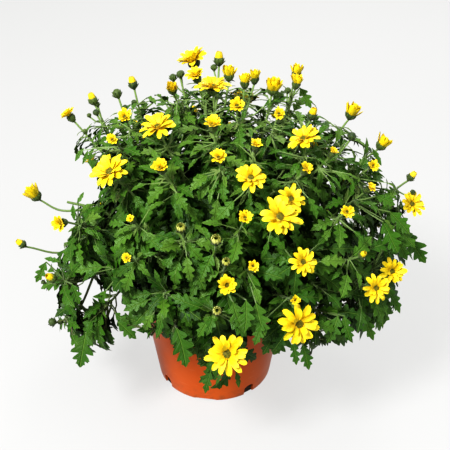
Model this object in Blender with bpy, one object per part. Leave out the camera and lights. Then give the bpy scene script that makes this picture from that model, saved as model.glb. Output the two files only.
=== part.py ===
"""Pot chrysanthemum: a bushy spray chrysanthemum in a tapered plastic pot.

The pot's axis is +Z through the origin, and its flat underside is z = 0. The front, seen in
the photograph, faces -Y. Sizes are in metres and angles in degrees.
"""

import math
import random
from collections import namedtuple

import bpy
import numpy as np
from mathutils import Vector

# Pot
POT_HEIGHT = 0.125
POT_BASE_RADIUS = 0.058
POT_TAPER = 0.144
POT_WALL = 0.0022
POT_FLOOR = 0.004
POT_SIDES = 32
FOOT_BEVEL = 0.0012
LIP_HEIGHT = 0.007
LIP_REACH = 0.0022
LIP_ROUND = 0.0012
POT_CLEARANCE = 0.002
SLOT_WIDTH = 0.011
SLOT_HEIGHT = 0.012
SLOT_DEPTH = 0.005
SLOT_ANGLES = (-54, 36, 126, 216)
ARCH_WIDTH = 0.022
ARCH_HEIGHT = 0.0025
ARCH_DEPTH = 0.008
ARCH_ANGLES = (-9, 81, 171, 261)

# Potting soil
GAP = 0.0003
SOIL_EDGE = 0.107
SOIL_CROWN = 0.111
SOIL_ROUGHNESS = 0.0012
SOIL_CROWN_RADIUS = 0.040
COLLAR_RISE = 0.004
HOLE_DEPTH = 0.025
HOLE_SIDES = 6
HOLE_CLEARANCE = 0.0004

# The dome that the blooms stand on: half widths to each side of its centre
DOME_CENTRE = Vector((0.004, 0.0, 0.145))
DOME_SIDE = 0.183
DOME_FRONT = 0.142
DOME_BACK = 0.165
DOME_UP = 0.170
LEAF_DOME = 0.90

# Stems: count, polar angle of the tips, first azimuth, radius of the roots, scale of the dome
Ring = namedtuple("Ring", "count polar azimuth root scale")
STEM_RINGS = (
    Ring(1, 8, 120, 0.000, 0.84),
    Ring(4, 37, 20, 0.018, 0.84),
    Ring(6, 66, 5, 0.034, 0.84),
    Ring(7, 94, 204, 0.049, 0.84),
)
STEM_RADIUS = 0.0026
STEM_TIP_RADIUS = 0.0011
STEM_SIDES = 4
STEM_STEPS = 5
STEM_BEND = 0.45
STEM_RISE = 0.055
STEM_STRETCH = 0.25

# Side shoots and flower stalks
SHOOT_RADIUS = 0.0012
SHOOT_TIP_RADIUS = 0.0009
SHOOT_SIDES = 3
SHOOT_STEPS = 2
SHOOT_BACKSETS = (0.9, 0.6, 0.3, 0.0)
SHOOT_SPACING = 0.036
FILLER_TRIES = 150
SHOOT_CLEARANCE = 0.005
MARGIN = 0.0012
BLADE_SPACING = 0.008
ROOT_SPACING = 0.005
STEM_SPACING = 0.003
HEAD_CLEARANCE = 0.002

# Leaves: outlines are half widths and heights as shares of the blade's length, base to tip
LEAF_TURN = 137.5
LEAF_COUNT = 260
LEAF_LOW = 0.046
LEAF_HIGH = 0.021
LEAF_TAPER = 0.6
LEAF_RIGHT = 0.11
LEAF_LIFT = 0.45
FALL = -0.15
LEAF_DEPTH = 0.010
LEAF_SCATTER = 0.08
LEAF_SIZES = (0.88, 1.12)
LEAF_SWING = 0.7
LEAF_TRIES = ((1, 0), (1, 0.6), (1, -0.6), (0.85, 0), (0.85, 1.1), (0.85, -1.1), (0.7, 0.3), (0.6, -0.3))
FOLIAGE_LOWEST = -0.45
PETIOLE = 0.006
PETIOLE_SHORT = 0.008
PETIOLE_LONG = 0.030
BLADE_RISE = 0.0002
BLADE_KEEL = 0.0012
BLADE_FOLD = 0.16
BLADE_ARCH = 0.22
PETIOLE_HALF = 0.0009
ROOT_SHARE = 0.5
LARGE_LEAF = 0.034
MIDDLE_LEAF = 0.022
Outline = namedtuple("Outline", "edge ribs spans")
LARGE_OUTLINE = Outline(
    ((0.29, 0.17), (0.12, 0.33), (0.42, 0.55), (0.15, 0.64), (0.21, 0.84)),
    (0.36, 0.68),
    (0, 3),
)
MIDDLE_OUTLINE = Outline(((0.29, 0.24), (0.13, 0.38), (0.34, 0.64)), (0.48,), (0,))
SMALL_OUTLINE = Outline(((0.27, 0.42), (0.13, 0.62)), (0.45,), (0,))

# Blooms: the widest have nodes of their own, the rest belong to their stem
OWN_BLOOMS = 40
CALYX_DEPTH = 0.008
CALYX_SIDES = 6
CALYX_SHARE = 0.30
DISC_SHARE = 0.27
PETAL_THICKNESS = 0.0012

# The photograph's view: the eye, its downward tilt, and half its width in angle and pixels
EYE = Vector((0.0106, -0.681, 0.5975))
TILT = 32
HALF_VIEW = 15
HALF_FRAME = 225

# Heads seen in the photograph: pixel across, pixel down, width in mm, mm nearer than the dome
Seen = namedtuple("Seen", "across down width nearer")
OPEN_SEEN = {
    "crown_left": Seen(193, 61, 33, -22),
    "crown_low": Seen(196, 76, 20, 14),
    "crown_right": Seen(213, 87, 32, 3),
    "upper_left": Seen(158, 127, 31, 0),
    "left_large": Seen(110, 172, 36, 0),
    "upper_middle": Seen(213, 125, 20, 0),
    "upper_small": Seen(237, 106, 17, 0),
    "upper_right": Seen(304, 139, 30, 0),
    "middle": Seen(251, 178, 28, 0),
    "pair_back": Seen(291, 199, 27, -9),
    "pair_front": Seen(280, 217, 36, 5),
    "right_middle": Seen(303, 262, 26, 0),
    "low_middle": Seen(227, 285, 20, 0),
    "low_right": Seen(299, 324, 38, 0),
    "low_front": Seen(227, 354, 38, 0),
    "far_right_left": Seen(376, 288, 27, 5),
    "far_right": Seen(392, 271, 26, -5),
    "right_edge": Seen(412, 204, 26, 0),
    "right_half": Seen(306, 169, 14, 0),
    "centre_high": Seen(256, 145, 13, 0),
    "right_round": Seen(347, 212, 14, 0),
    "centre": Seen(245, 218, 15, 0),
    "centre_low": Seen(253, 266, 13, 0),
    "centre_left": Seen(219, 158, 17, 0),
    "left_pale": Seen(161, 168, 18, 0),
    "left_high": Seen(113, 140, 13, 0),
    "left_top": Seen(125, 117, 17, 0),
    "left_far_top": Seen(69, 115, 18, 0),
    "left_far": Seen(61, 223, 18, 0),
    "top_right": Seen(279, 114, 13, 0),
    "right_high": Seen(373, 166, 13, 0),
    "right_mid": Seen(370, 188, 12, 0),
    "right_top": Seen(333, 152, 10, 0),
    "low_left": Seen(127, 258, 11, 0),
    "left_mid": Seen(131, 219, 9, 0),
    "low_centre": Seen(295, 300, 11, 0),
}
CUP_SEEN = {
    "cup_top": Seen(229, 73, 13, 0),
    "cup_double_left": Seen(245, 80, 11, 6),
    "cup_double_right": Seen(255, 76, 11, -6),
    "cup_top_right": Seen(273, 87, 15, 0),
    "cup_right_high": Seen(297, 71, 12, -14),
    "cup_right_low": Seen(297, 81, 11, 8),
    "cup_far_right": Seen(352, 112, 15, 0),
    "cup_right": Seen(383, 143, 14, 0),
    "cup_far_left": Seen(34, 194, 15, 0),
    "cup_top_left": Seen(172, 88, 11, 0),
}
BUD_SEEN = {
    "bud_left_a": Seen(93, 100, 9, 0),
    "bud_left_b": Seen(117, 93, 9, 0),
    "bud_left_c": Seen(133, 84, 9, 0),
    "bud_left_d": Seen(96, 112, 6, 14),
    "bud_crown": Seen(219, 60, 10, 0),
    "bud_crown_left": Seen(180, 74, 7, 0),
    "bud_right": Seen(411, 177, 8, 0),
    "bud_far_left": Seen(22, 244, 8, 0),
    "bud_top_right": Seen(312, 115, 9, 0),
    "bud_right_top": Seen(352, 136, 8, 0),
    "bud_centre": Seen(181, 228, 9, 0),
    "bud_middle": Seen(216, 240, 10, 0),
    "bud_low": Seen(217, 311, 9, 0),
    "bud_low_high": Seen(226, 262, 8, 0),
    "bud_left_low": Seen(52, 278, 9, 0),
    "bud_left_lowest": Seen(52, 322, 8, 0),
    "bud_right_low": Seen(362, 255, 7, 0),
}
# Which way a head leans from the dome's normal: to the right, back and up in the photograph
LEAN = {
    "upper_right": (-0.9, 0.0, 0.3),
    "left_far_top": (-0.1, -0.2, 0.0),
    "left_far": (0.1, -0.4, -0.4),
    "left_top": (0.3, -0.8, -0.3),
    "left_high": (0.1, -0.6, -0.3),
    "cup_right": (0.5, 0.0, 0.4),
    "cup_far_left": (-0.4, 0.0, 0.5),
    "crown_left": (-0.5, -0.5, 0.0),
    "crown_low": (-0.3, -0.5, 0.0),
    "crown_right": (0.0, 0.0, 0.5),
    "right_edge": (-0.75, -0.8, 0.0),
    "far_right": (-0.5, -0.45, 0.1),
    "far_right_left": (-0.4, -0.4, 0.1),
    "low_front": (0.0, 0.0, 0.3),
    "upper_small": (-0.1, -0.7, -0.4),
    "top_right": (-0.2, -0.8, -0.4),
    "cup_top_left": (0.0, -0.9, -0.2),
    "right_high": (-0.5, -0.7, -0.2),
    "right_round": (-0.4, -0.3, -0.1),
}
HEAD_FACE_UP = 0.45
STALK_FACE_UP = 0.9
HEAD_PULLS = (0, 0.03, 0.06, 0.1, 0.15, 0.2)
HEAD_APART = 0.3

# Heads behind, which the photograph doesn't show, spread by a rule over what faces away from it
BEHIND_HEADS = 20
BEHIND_SPACING = 0.029
BEHIND_FACING = -0.47
BEHIND_LOWEST = -0.30
BEHIND_SIZES = (0.034, 0.013, 0.026, 0.009, 0.030, 0.016, 0.036, 0.012, 0.024, 0.008)

# The outline of the leaves in the photograph, and the gaps where the background shows, in pixels
OUTLINE_SEEN = (
    (34, 287), (37, 262), (50, 253), (62, 259), (64, 236), (70, 213), (84, 201), (96, 206), (99, 196), (91, 182),
    (88, 164), (74, 161), (70, 150), (74, 138), (84, 123), (104, 117), (118, 111), (128, 103), (142, 101), (150, 96),
    (154, 85), (162, 95), (185, 85), (205, 79), (240, 80), (262, 83), (285, 85), (300, 81), (312, 97), (319, 111),
    (333, 121), (345, 127), (362, 131), (378, 149), (385, 175), (397, 185), (403, 196), (415, 221), (418, 238),
    (425, 267), (410, 269), (400, 273), (399, 290), (407, 312), (395, 313), (389, 329), (377, 344), (350, 347),
    (330, 347), (313, 350), (312, 373), (298, 369), (288, 353), (273, 351), (269, 371), (253, 373), (250, 391),
    (203, 397), (197, 381), (192, 371), (180, 353), (164, 341), (152, 339), (138, 341), (120, 336), (115, 346),
    (115, 358), (79, 373), (77, 351), (66, 341), (52, 347), (46, 331), (54, 318), (60, 300), (52, 299), (42, 291),
)
GAPS_SEEN = (
    ((75, 283), (96, 279), (101, 290), (90, 297), (81, 304)),
    ((105, 309), (112, 300), (121, 293), (131, 303), (126, 308), (116, 313)),
)

# How low the leaves hang: in front, at the sides and behind, and round the lowest front bloom
SKIRT_FRONT = 0.112
SKIRT_SIDE = 0.078
SKIRT_TUFT = 0.060
FRONT_HALF_ANGLE = 42
TUFT_HALF_ANGLE = 11

SEED = 11

Stem = namedtuple("Stem", "name points radii")
Head = namedtuple("Head", "name kind width place face")
Shoot = namedtuple("Shoot", "stem points radii head")
Leaf = namedtuple("Leaf", "stem root base along normal length outline")

UP = Vector((0, 0, 1))


# Vectors and curves

def direction(azimuth, polar):
    """A unit vector: azimuth runs counterclockwise from +X, polar angle down from +Z."""
    turn, fall = math.radians(azimuth), math.radians(polar)
    return Vector((math.sin(fall) * math.cos(turn), math.sin(fall) * math.sin(turn), math.cos(fall)))


def blend(start, end, share):
    return start + (end - start) * share


def bezier(start, bend, end, steps):
    """Points along a quadratic curve, its ends included."""
    spots = []
    for step in range(steps + 1):
        share = step / steps
        spots.append(blend(blend(start, bend, share), blend(bend, end, share), share))
    return spots


def across(axis, hint):
    """The unit vector nearest to hint that is square to the axis."""
    side = hint - axis * hint.dot(axis)
    return side.normalized()


def dome_point(heading, scale):
    """Where a direction from the dome's centre meets the dome."""
    depth = DOME_FRONT if heading.y < 0 else DOME_BACK
    return DOME_CENTRE + Vector((heading.x * DOME_SIDE, heading.y * depth, heading.z * DOME_UP)) * scale


def dome_normal(place):
    depth = DOME_FRONT if place.y < DOME_CENTRE.y else DOME_BACK
    off = place - DOME_CENTRE
    return Vector((off.x / DOME_SIDE ** 2, off.y / depth ** 2, off.z / DOME_UP ** 2)).normalized()


# The photograph's sight lines

def sight_line(seen):
    tilt = math.radians(TILT)
    slope = math.tan(math.radians(HALF_VIEW)) / HALF_FRAME
    ahead = Vector((0, math.cos(tilt), -math.sin(tilt)))
    above = Vector((0, math.sin(tilt), math.cos(tilt)))
    sideways = Vector(((seen.across - HALF_FRAME) * slope, 0, 0))
    return (ahead + sideways + above * ((HALF_FRAME - seen.down) * slope)).normalized()


def seen_at(seen):
    """Where a sight line first meets the dome, or passes nearest to it."""
    line = sight_line(seen)
    half = (DOME_SIDE, DOME_FRONT, DOME_UP)
    reach = EYE - DOME_CENTRE
    start = Vector([reach[i] / half[i] for i in range(3)])
    step = Vector([line[i] / half[i] for i in range(3)])
    square, cross = step.dot(step), start.dot(step)
    rest = max(cross * cross - square * (start.dot(start) - 1), 0)
    return EYE + line * ((-cross - math.sqrt(rest)) / square - seen.nearer * 0.001)


def seen_pixel(places):
    """Pixel across, pixel down and distance along the view of places in the photograph."""
    tilt = math.radians(TILT)
    slope = math.tan(math.radians(HALF_VIEW)) / HALF_FRAME
    offsets = np.array([tuple(place) for place in places]) - np.array(EYE)
    depth = offsets[:, 1] * math.cos(tilt) - offsets[:, 2] * math.sin(tilt)
    above = offsets[:, 1] * math.sin(tilt) + offsets[:, 2] * math.cos(tilt)
    return np.stack([HALF_FRAME + offsets[:, 0] / depth / slope, HALF_FRAME - above / depth / slope, depth], axis=1)


def inside(spots, corners):
    """Which pixels lie inside a closed row of corners."""
    found = np.zeros(len(spots), dtype=bool)
    for (x1, y1), (x2, y2) in zip(corners, corners[1:] + corners[:1]):
        if y1 == y2:
            continue
        crosses = (spots[:, 1] < y1) != (spots[:, 1] < y2)
        found ^= crosses & (spots[:, 0] < (x2 - x1) * (spots[:, 1] - y1) / (y2 - y1) + x1)
    return found


def in_outline(places):
    """Whether places all lie in the plant's outline in the photograph, and none in a gap."""
    spots = seen_pixel(places)
    gaps = [inside(spots, corners).any() for corners in GAPS_SEEN]
    return bool(inside(spots, OUTLINE_SEEN).all()) and not any(gaps)


# Layout of the plant

def ring_stem(ring, index, name):
    azimuth = ring.azimuth + 360 * index / ring.count
    outward = direction(azimuth, 90)
    root = outward * ring.root + UP * (SOIL_EDGE - HOLE_DEPTH)
    collar = Vector((root.x, root.y, SOIL_CROWN + COLLAR_RISE))
    tip = dome_point(direction(azimuth, ring.polar), ring.scale)
    bend = blend(collar, tip, STEM_BEND)
    bend.z = collar.z + STEM_RISE + STEM_STRETCH * max(tip.z - collar.z, 0)
    points = [root] + bezier(collar, bend, tip, STEM_STEPS)
    last = len(points) - 1
    radii = [STEM_RADIUS] * 2
    for step in range(2, last + 1):
        radii.append(STEM_RADIUS + (STEM_TIP_RADIUS - STEM_RADIUS) * (step - 1) / (last - 1))
    return Stem(name, points, radii)


def grow_stems():
    stems = []
    for ring in STEM_RINGS:
        for index in range(ring.count):
            stems.append(ring_stem(ring, index, f"leafy_stem_{len(stems) + 1:02d}"))
    return stems


class Territory:
    """Which stem, with all the shoots on it, is nearest to a place, and by how much."""

    def __init__(self, stems):
        self.starts = np.empty((0, 3))
        self.runs = np.empty((0, 3))
        self.owners = np.empty(0, dtype=int)
        self.count = len(stems)
        for index, stem in enumerate(stems):
            self.add(index, stem.points)

    def add(self, index, points):
        """Adds a curve to one stem's own."""
        spots = np.array(points)
        self.starts = np.vstack([self.starts, spots[:-1]])
        self.runs = np.vstack([self.runs, spots[1:] - spots[:-1]])
        self.owners = np.append(self.owners, [index] * (len(spots) - 1))

    def distances(self, places):
        """Distance from each place to each stem."""
        offsets = np.array(places)[:, None, :] - self.starts[None, :, :]
        squares = (self.runs ** 2).sum(axis=1)
        shares = np.clip((offsets * self.runs).sum(axis=2) / squares, 0, 1)
        gaps = np.linalg.norm(offsets - shares[:, :, None] * self.runs, axis=2)
        return np.stack([gaps[:, self.owners == i].min(axis=1) for i in range(self.count)], axis=1)

    def nearest(self, place, count):
        """The nearest stems, nearest first."""
        return [int(index) for index in self.distances([place])[0].argsort()[:count]]

    def clearance(self, index, places):
        """The least distance from the places to any other stem."""
        return float(np.delete(self.distances(places), index, axis=1).min())

    def holds(self, index, places, margin):
        """Whether all the places lie in one stem's space, clear of its border."""
        gaps = self.distances(places)
        others = np.delete(gaps, index, axis=1).min(axis=1)
        return bool((others - gaps[:, index] > 2 * margin).all())


def facing(place, lean, kind):
    """A bloom faces out from the dome and up; cups and buds stand more upright on their stalks."""
    upright = HEAD_FACE_UP if kind == "open" else STALK_FACE_UP
    return (dome_normal(place) + UP * upright + Vector(lean)).normalized()


def seen_heads():
    heads = []
    for kind, table in (("open", OPEN_SEEN), ("cup", CUP_SEEN), ("bud", BUD_SEEN)):
        for name, seen in table.items():
            place = seen_at(seen)
            face = facing(place, LEAN.get(name, (0, 0, 0)), kind)
            heads.append(Head(name, kind, seen.width * 0.001, place, face))
    return heads


def spiral_headings(count, lowest):
    """Directions spread evenly over the sphere down to the height named lowest."""
    headings = []
    for index in range(count):
        height = 1 - (1 - lowest) * (index + 0.5) / count
        headings.append(direction(index * LEAF_TURN, math.degrees(math.acos(height))))
    return headings


def heads_behind(heads):
    """Heads on the side turned away from the photograph's eye, a spacing from the others."""
    draw = random.Random(SEED)
    found = []
    for heading in spiral_headings(BEHIND_HEADS * 5, BEHIND_LOWEST):
        place = dome_point(heading, 1 + draw.uniform(-0.03, 0.04))
        turned_to_eye = dome_normal(place).dot((EYE - place).normalized())
        if turned_to_eye > BEHIND_FACING or len(found) == BEHIND_HEADS or not in_outline([place]):
            continue
        gaps = [(place - other.place).length for other in heads + found]
        if min(gaps) < BEHIND_SPACING:
            continue
        width = BEHIND_SIZES[len(found) % len(BEHIND_SIZES)]
        kind = "bud" if width < 0.010 else "cup" if width < 0.015 else "open"
        lean = (draw.uniform(-0.2, 0.2), draw.uniform(-0.2, 0.2), 0)
        face = facing(place, lean, kind)
        found.append(Head(f"behind_{len(found) + 1:02d}", kind, width, place, face))
    return found


def calyx_depth(head):
    return CALYX_DEPTH if head.kind != "bud" else head.width * 0.6


def point_along(points, share):
    """The point at a share of a polyline's length."""
    lengths = [(b - a).length for a, b in zip(points, points[1:])]
    left = share * sum(lengths)
    for start, end, length in zip(points, points[1:], lengths):
        if left <= length:
            return blend(start, end, left / length)
        left -= length
    return points[-1].copy()


def curve_length(points):
    return sum((b - a).length for a, b in zip(points, points[1:]))


def shoot_to(index, stem, end, face, backset, head):
    """A shoot that leaves its stem some way back from the nearest point and ends along face."""
    reach = stem.points[1:]
    shares = [step / 40 for step in range(4, 41)]
    nearest = min(shares, key=lambda share: (point_along(reach, share) - end).length)
    gap = (point_along(reach, nearest) - end).length
    start = point_along(reach, max(nearest - backset * gap / curve_length(reach), 0.12))
    bend = end - face * (0.45 * (end - start).length)
    points = bezier(start, bend, end, SHOOT_STEPS)
    steps = len(points) - 1
    radii = [SHOOT_RADIUS + (SHOOT_TIP_RADIUS - SHOOT_RADIUS) * step / steps for step in range(steps + 1)]
    return Shoot(index, points, radii, head)


def spread_of(head):
    """Places across a bloom, out to its rim."""
    side, other = head_frame(head)
    places = [head.place]
    for share in (0.25, 0.5):
        for step in range(6):
            turn = math.pi * step / 3
            places.append(head.place + (side * math.cos(turn) + other * math.sin(turn)) * head.width * share)
    return places


def free_shoot(place, face, head, stems, territory, heads):
    """The first shoot to a place that stays clear of other stems and of the blooms so far."""
    end = place - face * calyx_depth(head) if head else place
    for index in territory.nearest(end, 3):
        for backset in SHOOT_BACKSETS:
            shoot = shoot_to(index, stems[index], end, face, backset, head)
            spots = [point_along(shoot.points, share / 20) for share in range(21)]
            if territory.clearance(index, spots) < SHOOT_CLEARANCE:
                continue
            if any(in_head(spot, heads) or in_pot(spot) for spot in spots[1:]):
                continue
            if head and territory.distances(spread_of(head)).min() < SHOOT_CLEARANCE:
                continue
            return shoot
    return None


def place_heads(wanted, stems, territory):
    """Each head on its stalk, inner ones first, pulled in where it would not stand clear."""
    heads, shoots = [], []
    for head in sorted(wanted, key=lambda head: (head.place - DOME_CENTRE).length):
        for pull in HEAD_PULLS:
            inward = blend(head.place, DOME_CENTRE, pull)
            moved = head._replace(place=inward)
            gaps = [(inward - other.place).length - HEAD_APART * (head.width + other.width) for other in heads]
            if min(gaps, default=0) < 0:
                continue
            shoot = free_shoot(inward, head.face, moved, stems, territory, heads)
            if shoot:
                heads.append(moved)
                shoots.append(shoot)
                territory.add(shoot.stem, shoot.points)
                break
    return heads, shoots


def filler_shoots(stems, territory, heads, shoots):
    """Leafy shoots that close the dome between the flower stalks."""
    found = []
    tips = [shoot.points[-1] for shoot in shoots]
    for heading in spiral_headings(FILLER_TRIES, FOLIAGE_LOWEST):
        place = dome_point(heading, LEAF_DOME * 0.93)
        if place.z < skirt(place) + 0.012 or min((place - tip).length for tip in tips) < SHOOT_SPACING:
            continue
        if not in_outline([place]):
            continue
        shoot = free_shoot(place, dome_normal(place), None, stems, territory, heads)
        if shoot:
            found.append(shoot)
            tips.append(place)
            territory.add(shoot.stem, shoot.points)
    return found


def skirt(place):
    """The height that the leaves hang down to at a place round the pot."""
    angle = abs(math.degrees(math.atan2(place.x, -place.y)))
    if angle < TUFT_HALF_ANGLE:
        return SKIRT_TUFT
    if angle < FRONT_HALF_ANGLE:
        return SKIRT_FRONT
    return SKIRT_SIDE


def pot_radius(height):
    return POT_BASE_RADIUS + POT_TAPER * height


def in_pot(place):
    """Whether a place is in the pot, its lip or its soil, with 2 mm to spare."""
    out = math.hypot(place.x, place.y)
    if place.z > POT_HEIGHT + POT_CLEARANCE:
        return False
    if place.z > SOIL_CROWN + POT_CLEARANCE and out < pot_radius(POT_HEIGHT) - POT_WALL - POT_CLEARANCE:
        return False
    return out < pot_radius(POT_HEIGHT) + LIP_REACH + POT_CLEARANCE


def in_head(place, heads):
    """Whether a place is within a bloom or the calyx below it."""
    for head in heads:
        off = place - head.place
        rise = off.dot(head.face)
        out = (off - head.face * rise).length
        if -calyx_depth(head) - 0.003 < rise < 0.012 and out < head.width / 2 + HEAD_CLEARANCE:
            return True
    return False


def hides_head(place, heads):
    """Whether a place stands between the photograph's eye and a bloom."""
    off = place - EYE
    for head in heads:
        sight = head.place - EYE
        share = off.dot(sight) / sight.dot(sight)
        if share < 0.99 and (off - sight * share).length < head.width * 0.5:
            return True
    return False


def leaf_outline(length):
    if length >= LARGE_LEAF:
        return LARGE_OUTLINE
    return MIDDLE_OUTLINE if length >= MIDDLE_LEAF else SMALL_OUTLINE


def blade_points(leaf):
    """The leaf's rim, right side then left side, and its tip, arched and folded up at the rib."""
    side = leaf.along.cross(leaf.normal)
    rim = []
    for hand in (1, -1):
        for out, up in leaf.outline.edge:
            rise = BLADE_FOLD * out - BLADE_ARCH * up * up
            rim.append(leaf.base + (leaf.along * up + side * hand * out + leaf.normal * rise) * leaf.length)
    return rim, leaf.base + (leaf.along - leaf.normal * BLADE_ARCH) * leaf.length


def leaf_marks(leaf):
    """Places on a blade that tell how near two blades are."""
    side = leaf.along.cross(leaf.normal)
    spots = ((0, 0.35), (0, 0.7), (0, 1), (0.3, 0.55), (-0.3, 0.55))
    return np.array([leaf.base + (leaf.along * up + side * out) * leaf.length for out, up in spots])


def leaf_fits(leaf, territory, heads, marks):
    """Whether a blade is clear of the pot, the heads, the other blades and the stems."""
    rim, tip = blade_points(leaf)
    places = rim + [tip, leaf.base]
    own = leaf_marks(leaf)
    if marks and np.linalg.norm(np.concatenate(marks)[:, None] - own[None], axis=2).min() < BLADE_SPACING:
        return False
    if territory.distances(rim + [tip])[:, leaf.stem].min() < STEM_SPACING:
        return False
    if any(place.z < skirt(place) or in_pot(place) for place in places):
        return False
    centre = leaf.base + leaf.along * leaf.length * 0.5
    if any(in_head(place, heads) or hides_head(place, heads) for place in places + [centre]):
        return False
    return in_outline(places) and territory.holds(leaf.stem, places, MARGIN)


def leaf_size(place):
    """Leaves are large low down and small near the top."""
    height = (place.z - SKIRT_SIDE) / (DOME_CENTRE.z + DOME_UP - SKIRT_SIDE)
    return LEAF_LOW + (LEAF_HIGH - LEAF_LOW) * min(max(height, 0), 1) ** LEAF_TAPER


def leaf_roots(stems, shoots):
    """Places on each stem and its shoots that a leaf can grow from."""
    roots = [[] for stem in stems]
    curves = [(index, stem.points[2:], 0.1, 1.0) for index, stem in enumerate(stems)]
    curves += [(shoot.stem, shoot.points, 0.2, 0.8 if shoot.head else 1.0) for shoot in shoots]
    for index, points, first, last in curves:
        count = max(int(curve_length(points) * (last - first) / ROOT_SPACING), 1)
        shares = [first + (last - first) * step / count for step in range(count + 1)]
        roots[index] += [point_along(points, share) for share in shares]
    return roots


def leaf_over(target, index, roots, length, swing):
    """A leaf laid over a place on the dome, from the root that suits it best."""
    outward = dome_normal(target)
    fall = across(outward, Vector((target.x, target.y, FALL)))
    fall = (fall * math.cos(swing) + outward.cross(fall) * math.sin(swing)).normalized()
    lift = LEAF_LIFT * max(outward.z, 0)
    tip = target + fall * length * 0.5 + outward * length * lift
    wish = tip - fall * (length + PETIOLE) - outward * (LEAF_DEPTH + length * lift)
    root = min(roots[index], key=lambda spot: (spot - wish).length)
    along = (tip - root).normalized()
    petiole = min(max((tip - root).length - length, PETIOLE_SHORT), PETIOLE_LONG)
    normal = across(along, outward + UP * 0.5)
    return Leaf(index, root, root + along * petiole, along, normal, length, leaf_outline(length))


def grow_leaves(stems, shoots, territory, heads):
    """Leaves spread evenly over the dome, each turned or shrunk till it fits."""
    leaves, marks = [], []
    draw = random.Random(SEED + 1)
    roots = leaf_roots(stems, shoots)
    for heading in spiral_headings(LEAF_COUNT, FOLIAGE_LOWEST):
        reach = LEAF_DOME + LEAF_RIGHT * max(heading.x, 0) - draw.uniform(0, LEAF_SCATTER)
        target = dome_point(heading, reach)
        size = leaf_size(target) * draw.uniform(*LEAF_SIZES)
        turn = draw.uniform(-LEAF_SWING, LEAF_SWING)
        for index in territory.nearest(target, 2):
            leaf = fitting_leaf(target, index, roots, size, turn, territory, heads, marks)
            if leaf:
                leaves.append(leaf)
                marks.append(leaf_marks(leaf))
                roots[index].remove(leaf.root)
                break
    return leaves


def fitting_leaf(target, index, roots, size, turn, territory, heads, marks):
    for shrink, swing in LEAF_TRIES:
        leaf = leaf_over(target, index, roots, size * shrink, turn + swing)
        if leaf_fits(leaf, territory, heads, marks):
            return leaf
    return None


def grow_plant():
    """The whole layout: stems, heads, shoots and leaves."""
    stems = grow_stems()
    territory = Territory(stems)
    wanted = seen_heads()
    heads, shoots = place_heads(wanted + heads_behind(wanted), stems, territory)
    shoots += filler_shoots(stems, territory, heads, shoots)
    leaves = grow_leaves(stems, shoots, territory, heads)
    return stems, heads, shoots, leaves


# Meshes

def object_from(name, verts, faces, material):
    mesh = bpy.data.meshes.new(name)
    mesh.from_pydata([tuple(v) for v in verts], [], faces)
    mesh.update()
    shape = bpy.data.objects.new(name, mesh)
    bpy.context.collection.objects.link(shape)
    if material:
        mesh.materials.append(material)
    return shape


def plain_material(name, colour, roughness):
    material = bpy.data.materials.new(name)
    material.use_nodes = True
    shader = material.node_tree.nodes["Principled BSDF"]
    shader.inputs["Base Color"].default_value = (*colour, 1)
    shader.inputs["Roughness"].default_value = roughness
    return material


def turned(name, profile, sides, material):
    """A closed solid turned round +Z from a profile that starts and ends on the axis."""
    verts = [Vector((0, 0, profile[0][1]))]
    rings = profile[1:-1]
    for radius, height in rings:
        for side in range(sides):
            turn = 2 * math.pi * side / sides
            verts.append(Vector((radius * math.cos(turn), radius * math.sin(turn), height)))
    verts.append(Vector((0, 0, profile[-1][1])))
    top = len(verts) - 1
    faces = []
    for side in range(sides):
        after = (side + 1) % sides
        faces.append((0, 1 + after, 1 + side))
        for ring in range(len(rings) - 1):
            low, high = 1 + ring * sides, 1 + (ring + 1) * sides
            faces.append((low + side, low + after, high + after, high + side))
        last = 1 + (len(rings) - 1) * sides
        faces.append((last + side, last + after, top))
    return object_from(name, verts, faces, material)


def round_corners(centre, side, other, radius, count):
    turns = [2 * math.pi * k / count for k in range(count)]
    return [centre + (side * math.cos(turn) + other * math.sin(turn)) * radius for turn in turns]


def tube_rings(points, radii, sides):
    """Rings of corners round a curve, kept from twisting, and the side that the last one starts on."""
    rings = []
    side = across((points[1] - points[0]).normalized(), Vector((1, 0.3, 0.1)))
    for i, (point, radius) in enumerate(zip(points, radii)):
        before, after = points[max(i - 1, 0)], points[min(i + 1, len(points) - 1)]
        axis = (after - before).normalized()
        side = across(axis, side)
        rings.append(round_corners(point, side, axis.cross(side), radius, sides))
    return rings, side


def bridge(low, high):
    """Faces between two rings of corners; the upper may have twice as many."""
    faces, count = [], len(high)
    for k, corner in enumerate(low):
        after = low[(k + 1) % len(low)]
        if count == len(low):
            faces.append((corner, after, high[(k + 1) % count], high[k]))
            continue
        middle = high[2 * k + 1]
        faces.append((corner, after, middle))
        faces.append((corner, middle, high[2 * k]))
        faces.append((after, high[(2 * k + 2) % count], middle))
    return faces


def skin(rings):
    """Corners and side faces of a row of rings, closed below, and the last ring's numbers."""
    verts, faces, before = [], [], None
    for ring in rings:
        numbers = list(range(len(verts), len(verts) + len(ring)))
        verts += ring
        faces += bridge(before, numbers) if before else [tuple(reversed(numbers))]
        before = numbers
    return verts, faces, before


def tube(points, radii, sides):
    verts, faces, last = skin(tube_rings(points, radii, sides)[0])
    return verts, faces + [tuple(last)]


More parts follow.
